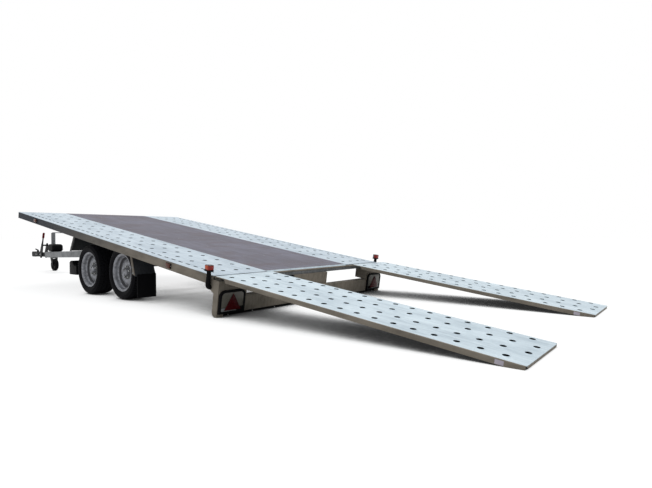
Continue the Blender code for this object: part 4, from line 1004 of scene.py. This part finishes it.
# %% Outline lamps
STALK_REACH = 0.022
STALK_RADIUS = 0.0186
for side, sign in SIDES:
    base = Vector((HALF + SEAT, BUMPER_REAR - 0.103, DECK - 0.095))
    path, sizes = [], []
    for x, z in arc((base.x, base.z + STALK_REACH), STALK_REACH, -90, 0, 12):
        path.append((sign * x, base.y, z))
        sizes.append(STALK_RADIUS)
    top = DECK + 0.034
    steps = 10
    start = base.z + STALK_REACH
    for i in range(1, steps + 1):
        share = i / steps
        path.append((sign * (base.x + STALK_REACH), base.y, start + (top - start) * share))
        sizes.append(0.0184 - 0.0030 * min(1.0, share * 1.3) + (0.0014 if i % 2 else 0.0))
    x = sign * (base.x + STALK_REACH)
    foot = turned([(0.0, 0.0), (0.0, 0.0188), (sign * 0.004, 0.0188), (sign * 0.006, 0.0186)],
                  32, "X", (sign * base.x, base.y, base.z))
    shell = block((x - 0.0258, base.y - 0.0258, top - 0.004), (x + 0.0258, base.y + 0.0258,
                                                           top + 0.008), 0.004)
    bulbs = []
    for reach, finish in (((-0.010, 0.0255), head_red), ((-0.0255, -0.011), pale_lens)):
        bulbs.append((block((x - 0.0235, base.y + reach[0], top + 0.0075),
                            (x + 0.0235, base.y + reach[1], top + 0.043), 0.005), finish))
    lid = block((x - 0.0220, base.y - 0.024, top + 0.0405),
                (x + 0.0220, base.y + 0.024, top + 0.046), 0.0025)
    bulbs.append((lid, head_dark))
    outer = across(sign, abs(x) + 0.0200, abs(x) + 0.0258)
    eye = block((outer[0], base.y - 0.020, top + 0.012), (outer[1], base.y + 0.016,
                                                         top + 0.041), 0.003)
    build(f"outline_lamp_{side}", "bed",
          [(joined(tube(path, sizes, 20), foot, shell), black_rubber), *bulbs,
           (eye, orange_lens)], BED, [f"marker_lamp_{side}"])

# %% [markdown]
# Small amber lamps sit on both rails: a dark base, a rounded lens and two screw heads.

# %% Side lamps
SIDE_LAMPS = (("front", -1.37), ("rear", 1.505))
for side, sign in SIDES:
    for end, y in SIDE_LAMPS:
        z = DECK - 0.0375
        faces = across(sign, HALF + SEAT, HALF + 0.006)
        base = block((faces[0], y - 0.039, z - 0.022), (faces[1], y + 0.039, z + 0.022), 0.002)
        faces = across(sign, HALF + 0.005, HALF + 0.0138)
        glass = block((faces[0], y - 0.033, z - 0.0195), (faces[1], y + 0.033, z + 0.0195),
                      0.004)
        pins = [turned([(0.0, 0.0034), (sign * 0.0016, 0.0030), (sign * 0.0018, 0.0)], 12, "X",
                       (sign * (HALF + 0.006), y + shift, z)) for shift in (-0.036, 0.036)]
        build(f"side_lamp_{side}_{end}", "bed",
              [(base, black_plastic), (glass, amber_lens), (joined(*pins), bolt_zinc)], BED,
              [f"side_marker_{side}_{end}"])
print("outline and side lamps made")

# %% [markdown]
# The wheel guards are bent panels of dark plastic with a turned-in edge and three beads that
# stiffen them, hung on the bed by a flat steel bar. The CAD piece is one solid, so it is
# replaced by the panel, its rolled edge and the zinc bar on the same lines, each with its
# own finish. The front panels are drawn wider than the solid, because the real ones cover
# the tyre right up to the rail.

# %% Wheel guards
AXLE_MIDDLE = 0.20
GUARD_OUTER = WHEEL_X + TYRE_WIDTH / 2 + 0.024
GUARD_MEMBER = AXLE_MIDDLE + 0.65
GUARD_WIDTHS = {"front": 0.237, "rear": 0.190}


def guard_line(mirror):
    """The panel's side view, from its top down to its flared end."""
    top = DECK - 0.020
    points = []
    for i in range(29):
        share = i / 28
        flare = max(0.0, (share - 0.25) / 0.75) ** 1.4
        y = GUARD_MEMBER - 0.025 - 0.0003 - 0.004 + 0.090 * flare
        points.append((2 * AXLE_MIDDLE - y if mirror else y, top - 0.235 * share))
    return points


for side, sign in SIDES:
    for end, mirror in (("front", True), ("rear", False)):
        flip = -1 if mirror else 1
        line = guard_line(mirror)
        back = [(y + flip * 0.004, z) for y, z in line]
        ends = across(sign, GUARD_OUTER - GUARD_WIDTHS[end], GUARD_OUTER)
        panel = drawn(line + back[::-1], 0, *ends, 0.001)
        edge = [(y - flip * 0.034, z) for y, z in line]
        inner = [(y + flip * 0.002, z) for y, z in line]
        ends = across(sign, GUARD_OUTER - 0.004, GUARD_OUTER)
        lip = drawn(edge + inner[::-1], 0, *ends, 0.001)
        beads = []
        for shift in (0.048, 0.095, 0.142):
            x = sign * (GUARD_OUTER - shift)
            beads.append(tube([(x, y + flip * 0.0035, z) for y, z in line[2:-1]], 0.003, 8))
        high_z, high_y = DECK - 0.075 - 0.0003, GUARD_MEMBER - 0.063
        low_y, low_z = high_y + 0.076, high_z - 0.172
        bar = [(high_y, high_z), (high_y + 0.038, high_z), (low_y + 0.038, low_z),
               (low_y, low_z)]
        if mirror:
            bar = [(2 * AXLE_MIDDLE - y, z) for y, z in bar]
        ends = across(sign, GUARD_OUTER + 0.0002, GUARD_OUTER + 0.004)
        strut = drawn(bar, 0, *ends, 0.001)
        heads = []
        for share in (0.90, 0.62):
            y = high_y + 0.019 + 0.076 * share
            y = 2 * AXLE_MIDDLE - y if mirror else y
            heads.append(bolt((sign * (GUARD_OUTER + 0.0038), y, high_z - 0.172 * share), "X",
                              0.006, sign))
        build(f"wheel_guard_{side}_{end}", "bed",
              [(joined(panel, lip, *beads), guard_plastic), (strut, shaded_zinc_side),
               (joined(*heads), bolt_zinc)], BED, [f"mudguard_{side}_{end}"])
print("wheel guards made")

# %% [markdown]
# The parking brake lever straddles the overrun housing: a long plate with a red grip on the
# left, a stiffener on its foot, and the same stiffener on the right, joined by a cross tube.
# The CAD solid is the long plate, so that one keeps its outline and the rest is added.

# %% Brake lever
DRAWBAR_Z = 0.285
LEVER_FACE = 0.0318
PIVOT = (-4.47, DRAWBAR_Z)
LEAN = math.radians(20)
reach = Vector((0, math.sin(LEAN), math.cos(LEAN)))
tip, halfway = [(PIVOT[0] + length * reach.y, PIVOT[1] + length * reach.z)
                for length in (0.30, 0.17)]
stiffener = link(PIVOT, 0.062, halfway, 0.040)
plates = [drawn(link(PIVOT, 0.046, tip, 0.015), 0, LEVER_FACE, LEVER_FACE + 0.010, 0.002),
          drawn(stiffener, 0, LEVER_FACE + 0.002, LEVER_FACE + 0.008, 0.002),
          drawn(stiffener, 0, -LEVER_FACE - 0.008, -LEVER_FACE, 0.002),
          tube([(-LEVER_FACE - 0.010, *halfway), (LEVER_FACE + 0.012, *halfway)], 0.013, 20)]
grip_foot = Vector((LEVER_FACE + 0.005, *tip))
grip = tube([grip_foot + reach * step for step in (0.0, 0.004, 0.012, 0.030, 0.060, 0.085,
                                                   0.095, 0.100)],
            [0.010, 0.0150, 0.0160, 0.0148, 0.0150, 0.0158, 0.0140, 0.006], 20)
rings = [tube([grip_foot + reach * (0.022 + 0.011 * i), grip_foot + reach * (0.027 + 0.011 * i)],
              0.0160, 20) for i in range(5)]
pins = [bolt((LEVER_FACE + 0.010, *PIVOT), "X", 0.012),
        bolt((-LEVER_FACE - 0.008, *PIVOT), "X", 0.012, -1)]
build("parking_brake", "chassis",
      [(joined(*plates), black_paint), (joined(grip, *rings), dark_red),
       (joined(*pins), bolt_zinc)], CHASSIS, ["brake_lever"])
print("brake lever made")

# %% [markdown]
# A rubber bellows keeps dirt off the sliding shaft behind the coupling. It is turned from a
# wave, with the same folds as the CAD piece, and held by a clip at each end.

# %% Bellows
GAITER_REAR, GAITER_LENGTH, FOLDS = -4.5203, 0.0994, 4
bellows = []
for i in range(16 * FOLDS + 1):
    share = i / (16 * FOLDS)
    bellows.append((GAITER_REAR - GAITER_LENGTH * share,
                    0.0320 + 0.0038 * math.cos(math.tau * FOLDS * share)))
shape = turned([(bellows[0][0], 0.020), *bellows, (bellows[-1][0], 0.020)], 40, "Y",
               (0, 0, DRAWBAR_Z))
clips = [turned([(y, 0.0352), (y + 0.001, 0.0362), (y + 0.006, 0.0362), (y + 0.007, 0.0352)],
                40, "Y", (0, 0, DRAWBAR_Z)) for y in (-4.5285, -4.6185)]
build("bellows", "chassis", [(shape, black_rubber), (joined(*clips), bolt_zinc)], CHASSIS,
      ["drawbar_gaiter"])
print("bellows made")

# %% [markdown]
# The jockey wheel has a solid rubber tyre on a ribbed plastic centre. Its profile is written
# for one half and mirrored. The coupling is bolted to its shaft through the neck.

# %% Jockey wheel and coupling
JOCKEY_X, JOCKEY_AXLE_Y = -0.125, -4.355
half, rim = 0.0275, 0.105
tyre_profile = [(half - 0.004, 0.077)] + arc((half - 0.014, rim - 0.014), 0.0138, 10, 80, 6)
tyre_profile += [(-x, r) for x, r in tyre_profile[::-1]]
hub = [(half - 0.0003, 0.0092), (half - 0.0003, 0.024), (half - 0.004, 0.028),
       (half - 0.012, 0.033), (half - 0.012, 0.068), (half - 0.005, 0.073),
       (half - 0.004, 0.0775)]
hub += [(-x, r) for x, r in hub[::-1]]
axle = Vector((JOCKEY_X, JOCKEY_AXLE_Y, rim))
ribs = []
for i in range(6):
    turn = math.tau * i / 6
    for way in (1, -1):
        ends = across(way, half - 0.0122, half - 0.006)
        rib = block((ends[0], -0.0025, 0.027), (ends[1], 0.0025, 0.071), 0.001)
        rib.transform(Matrix.Translation(axle) @ Matrix.Rotation(turn, 4, "X"))
        ribs.append(rib)
build("jockey_tyre", "jockey_wheel",
      [(turned(tyre_profile, 64, "X", axle), black_rubber),
       (joined(turned(hub, 64, "X", axle), *ribs), black_plastic)], CHASSIS,
      ["jockey_wheel"])
neck = [bolt((way * 0.038, y, DRAWBAR_Z), "X", 0.008, way) for way in (1, -1)
        for y in (-4.650, -4.695)]
build("coupling_bolts", "chassis", [(joined(*neck), bolt_zinc)], CHASSIS)
print("jockey wheel and coupling bolts made")

# %% [markdown]
# The wheel chock is a blow-moulded wedge with a hollow face that fits the tyre and ribs
# across its back. The hand pump sits under a rounded cover with a seam, a filler cap and
# the socket for its bar.

# %% Chock and pump
def corners(name):
    """Both corners of a CAD solid's box, counted from the chassis' own zero."""
    return [corner - CHASSIS.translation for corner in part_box(name)]


low, high = corners("wheel_chock")
chock_height = high.z - low.z
wedge = [(low.y, low.z), (high.y, low.z), (high.y, low.z + chock_height * 0.55)]
wedge += arc((high.y - 0.02, high.z + 0.04), 0.10, -85, -155, 18)
wedge += [(low.y + 0.03, high.z), (low.y, high.z - 0.02)]
chock = softened(drawn(wedge, 0, low.x, high.x), 0.016, 4)
ribs = [block((low.x + 0.020 + 0.030 * i, low.y, low.z + 0.020),
              (low.x + 0.028 + 0.030 * i, low.y + 0.006, high.z - 0.035), 0.002)
        for i in range(4)]
build("moulded_chock", "chassis", [(joined(chock, *ribs), black_plastic)], CHASSIS,
      ["wheel_chock"])
low, high = corners("hand_pump")
middle_y = (low.y + high.y) / 2
PUMP_CORNER = 0.045
side_view = [(low.y, low.z + 0.012), (high.y, low.z + 0.004)]
side_view += arc((high.y - PUMP_CORNER, high.z - PUMP_CORNER), PUMP_CORNER, 0, 90, 10)
side_view += arc((low.y + PUMP_CORNER, high.z - PUMP_CORNER), PUMP_CORNER, 90, 180, 10)
cover = softened(drawn(side_view, 0, low.x + 0.0012, high.x - 0.0012), 0.038, 6)
seam = block((low.x, low.y + 0.0004, low.z + 0.045), (high.x, high.y - 0.0004, low.z + 0.050),
             0.0015)
cap = turned([(high.z - 0.004, 0.020), (high.z - 0.0005, 0.0185), (high.z, 0.0)], 24, "Z",
             (0.03, middle_y + 0.02, 0))
socket = turned([(high.z - 0.006, 0.016), (high.z, 0.0155), (high.z, 0.010),
                 (high.z - 0.012, 0.010), (high.z - 0.012, 0.0)], 24, "Z",
                (-0.035, middle_y - 0.03, 0))
build("pump_cover", "chassis",
      [(joined(cover, seam), black_plastic), (cap, dark_red), (socket, bolt_zinc)], CHASSIS,
      ["hand_pump"])
print("chock and pump made")

# %% [markdown]
# The rest of the trailer is already right as solids: rails, frame, axles, drawbar and the
# gear at its head. Each of those nodes keeps its mesh and only gets its finish.

# %% Finishes for the solids
SOLIDS = {
    # The side zinc, with its painted shade, goes on the rails, the bar and the hook rod.
    shaded_zinc_side: "side_rail_left side_rail_right rear_bumper ramp_hook_rod",
    zinc_frame: "bed_frame chassis_frame axle_front axle_rear drawbar_arm_left "
                "drawbar_arm_right drawbar_nose_plate jockey_tube chock_holder "
                "ramp_ribs_left ramp_ribs_right",
    bright_steel: "cylinder_rod jockey_leg",
    black_paint: "cylinder_barrel coupling_head overrun_housing jockey_clamp jockey_fork",
    black_rubber: "mudflap_left mudflap_right",
}
for finish, names in SOLIDS.items():
    for name in names.split():
        solid = frame["nodes"][name]
        for slot in solid.material_slots:
            slot.material = finish.material
print("finished solids", sum(len(names.split()) for names in SOLIDS.values()))

# %% [markdown]
# The studio: a pale floor, an even sky and one broad soft light from above, so that a
# colour renders about as it was mixed. The floor looks white to the camera and takes the
# trailer's shadow; near and under the trailer an occlusion node also paints shade into its
# glow and its colour. What the trailer itself sees of it is a mid grey, as a real yard.

# %% Studio
def plain_world():
    world = bpy.data.worlds.new("studio sky")
    bpy.context.scene.world = world
    world.use_nodes = True
    made = Nodes(world.node_tree)
    white = made.node("ShaderNodeBackground", values={"Color": (1, 1, 1, 1)})
    sky = made.node("ShaderNodeBackground", values={"Color": (0.93, 0.97, 1.0, 1),
                                                    "Strength": 0.62})
    mixed = made.node("ShaderNodeMixShader", values={0: made.seen(), 1: sky, 2: white})
    made.feed(made.tree.nodes["World Output"].inputs["Surface"], mixed)


def pale_floor():
    made = Finish("pale floor", roughness=0.9)
    made.set("Base Color", made.mix(made.cloud(0.7, 2), paint(168, 166, 162),
                                    paint(176, 174, 170)))
    # Painted shade: where the trailer covers the floor, its glow and its colour darken.
    open_sky = made.node("ShaderNodeAmbientOcclusion", {"samples": 12}, {"Distance": 0.7},
                         out=1)
    shade = made.step(open_sky, 0.20, 0.60)
    white = made.node("ShaderNodeEmission", values={
        "Color": made.mix(shade, (0.02, 0.02, 0.02, 1), (0.80, 0.80, 0.80, 1))})
    soft = made.node("ShaderNodeBsdfDiffuse", values={
        "Color": made.mix(shade, (0.06, 0.06, 0.06, 1), (0.28, 0.28, 0.28, 1))})
    seen = made.node("ShaderNodeAddShader", values={0: white, 1: soft})
    yard = Wire(made, made.shader.outputs[0])
    mixed = made.node("ShaderNodeMixShader", values={0: made.seen(), 1: yard, 2: seen})
    made.feed(made.tree.nodes["Material Output"].inputs["Surface"], mixed)
    mesh = bpy.data.meshes.new("floor")
    shape = bmesh.new()
    bmesh.ops.create_circle(shape, cap_ends=True, radius=60.0, segments=64)
    shape.transform(Matrix.Translation((0, 0, -0.0004)))
    shape.to_mesh(mesh)
    shape.free()
    mesh.materials.append(made.material)
    floor = bpy.data.objects.new("floor", mesh)
    bpy.context.scene.collection.objects.link(floor)


plain_world()
pale_floor()
lamp = bpy.data.lights.new("soft overhead light", "SUN")
lamp.energy = 1.15
lamp.angle = math.radians(50)
lamp.color = (1.0, 0.99, 0.97)
holder = bpy.data.objects.new("soft overhead light", lamp)
holder.rotation_euler = (math.radians(12), math.radians(-8), 0)
bpy.context.scene.collection.objects.link(holder)
bpy.context.scene.view_settings.view_transform = "Standard"
print("studio set")

# %% [markdown]
# The camera stands where the photograph was taken from: behind the left rear corner, 0.63 m
# above the ground, looking along the trailer. Its lens, shift and place were solved from the
# points of the photograph, and it is set from the same zero as the chassis.

# %% Camera
PICTURE_WIDTH = 652
FOCAL_PX = 457.54
CENTRE_PX = 386.03
YAW, PITCH = 4.1073, -0.0209
eye = CHASSIS @ Vector((3.1566, 4.9655, 0.6325))
ahead = Vector((math.sin(YAW) * math.cos(PITCH), math.cos(YAW) * math.cos(PITCH),
                math.sin(PITCH)))
right = Vector((math.cos(YAW), -math.sin(YAW), 0.0))
up = right.cross(ahead)
facing = Matrix((right, up, -ahead)).transposed().to_4x4()
view = bpy.data.cameras.new("camera")
view.sensor_width = 36.0
view.lens = view.sensor_width * FOCAL_PX / PICTURE_WIDTH
view.shift_x = 0.5 - CENTRE_PX / PICTURE_WIDTH
view.clip_start = 0.05
view.clip_end = 200.0
camera = bpy.data.objects.new("camera", view)
camera.matrix_world = Matrix.Translation(eye) @ facing
bpy.context.scene.collection.objects.link(camera)
bpy.context.scene.camera = camera
print("camera at", [round(v, 3) for v in eye])

# %% [markdown]
# Last, the triangles of each made piece are counted. The finished trailer has to stay
# in the CAD model's box.

# %% Triangle count
bpy.context.view_layer.update()
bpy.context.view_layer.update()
triangles = {}
for made in made_pieces:
    made.data.calc_loop_triangles()
    triangles[made.name] = len(made.data.loop_triangles)
print("triangles", sum(triangles.values()), "largest", max(triangles.values()))
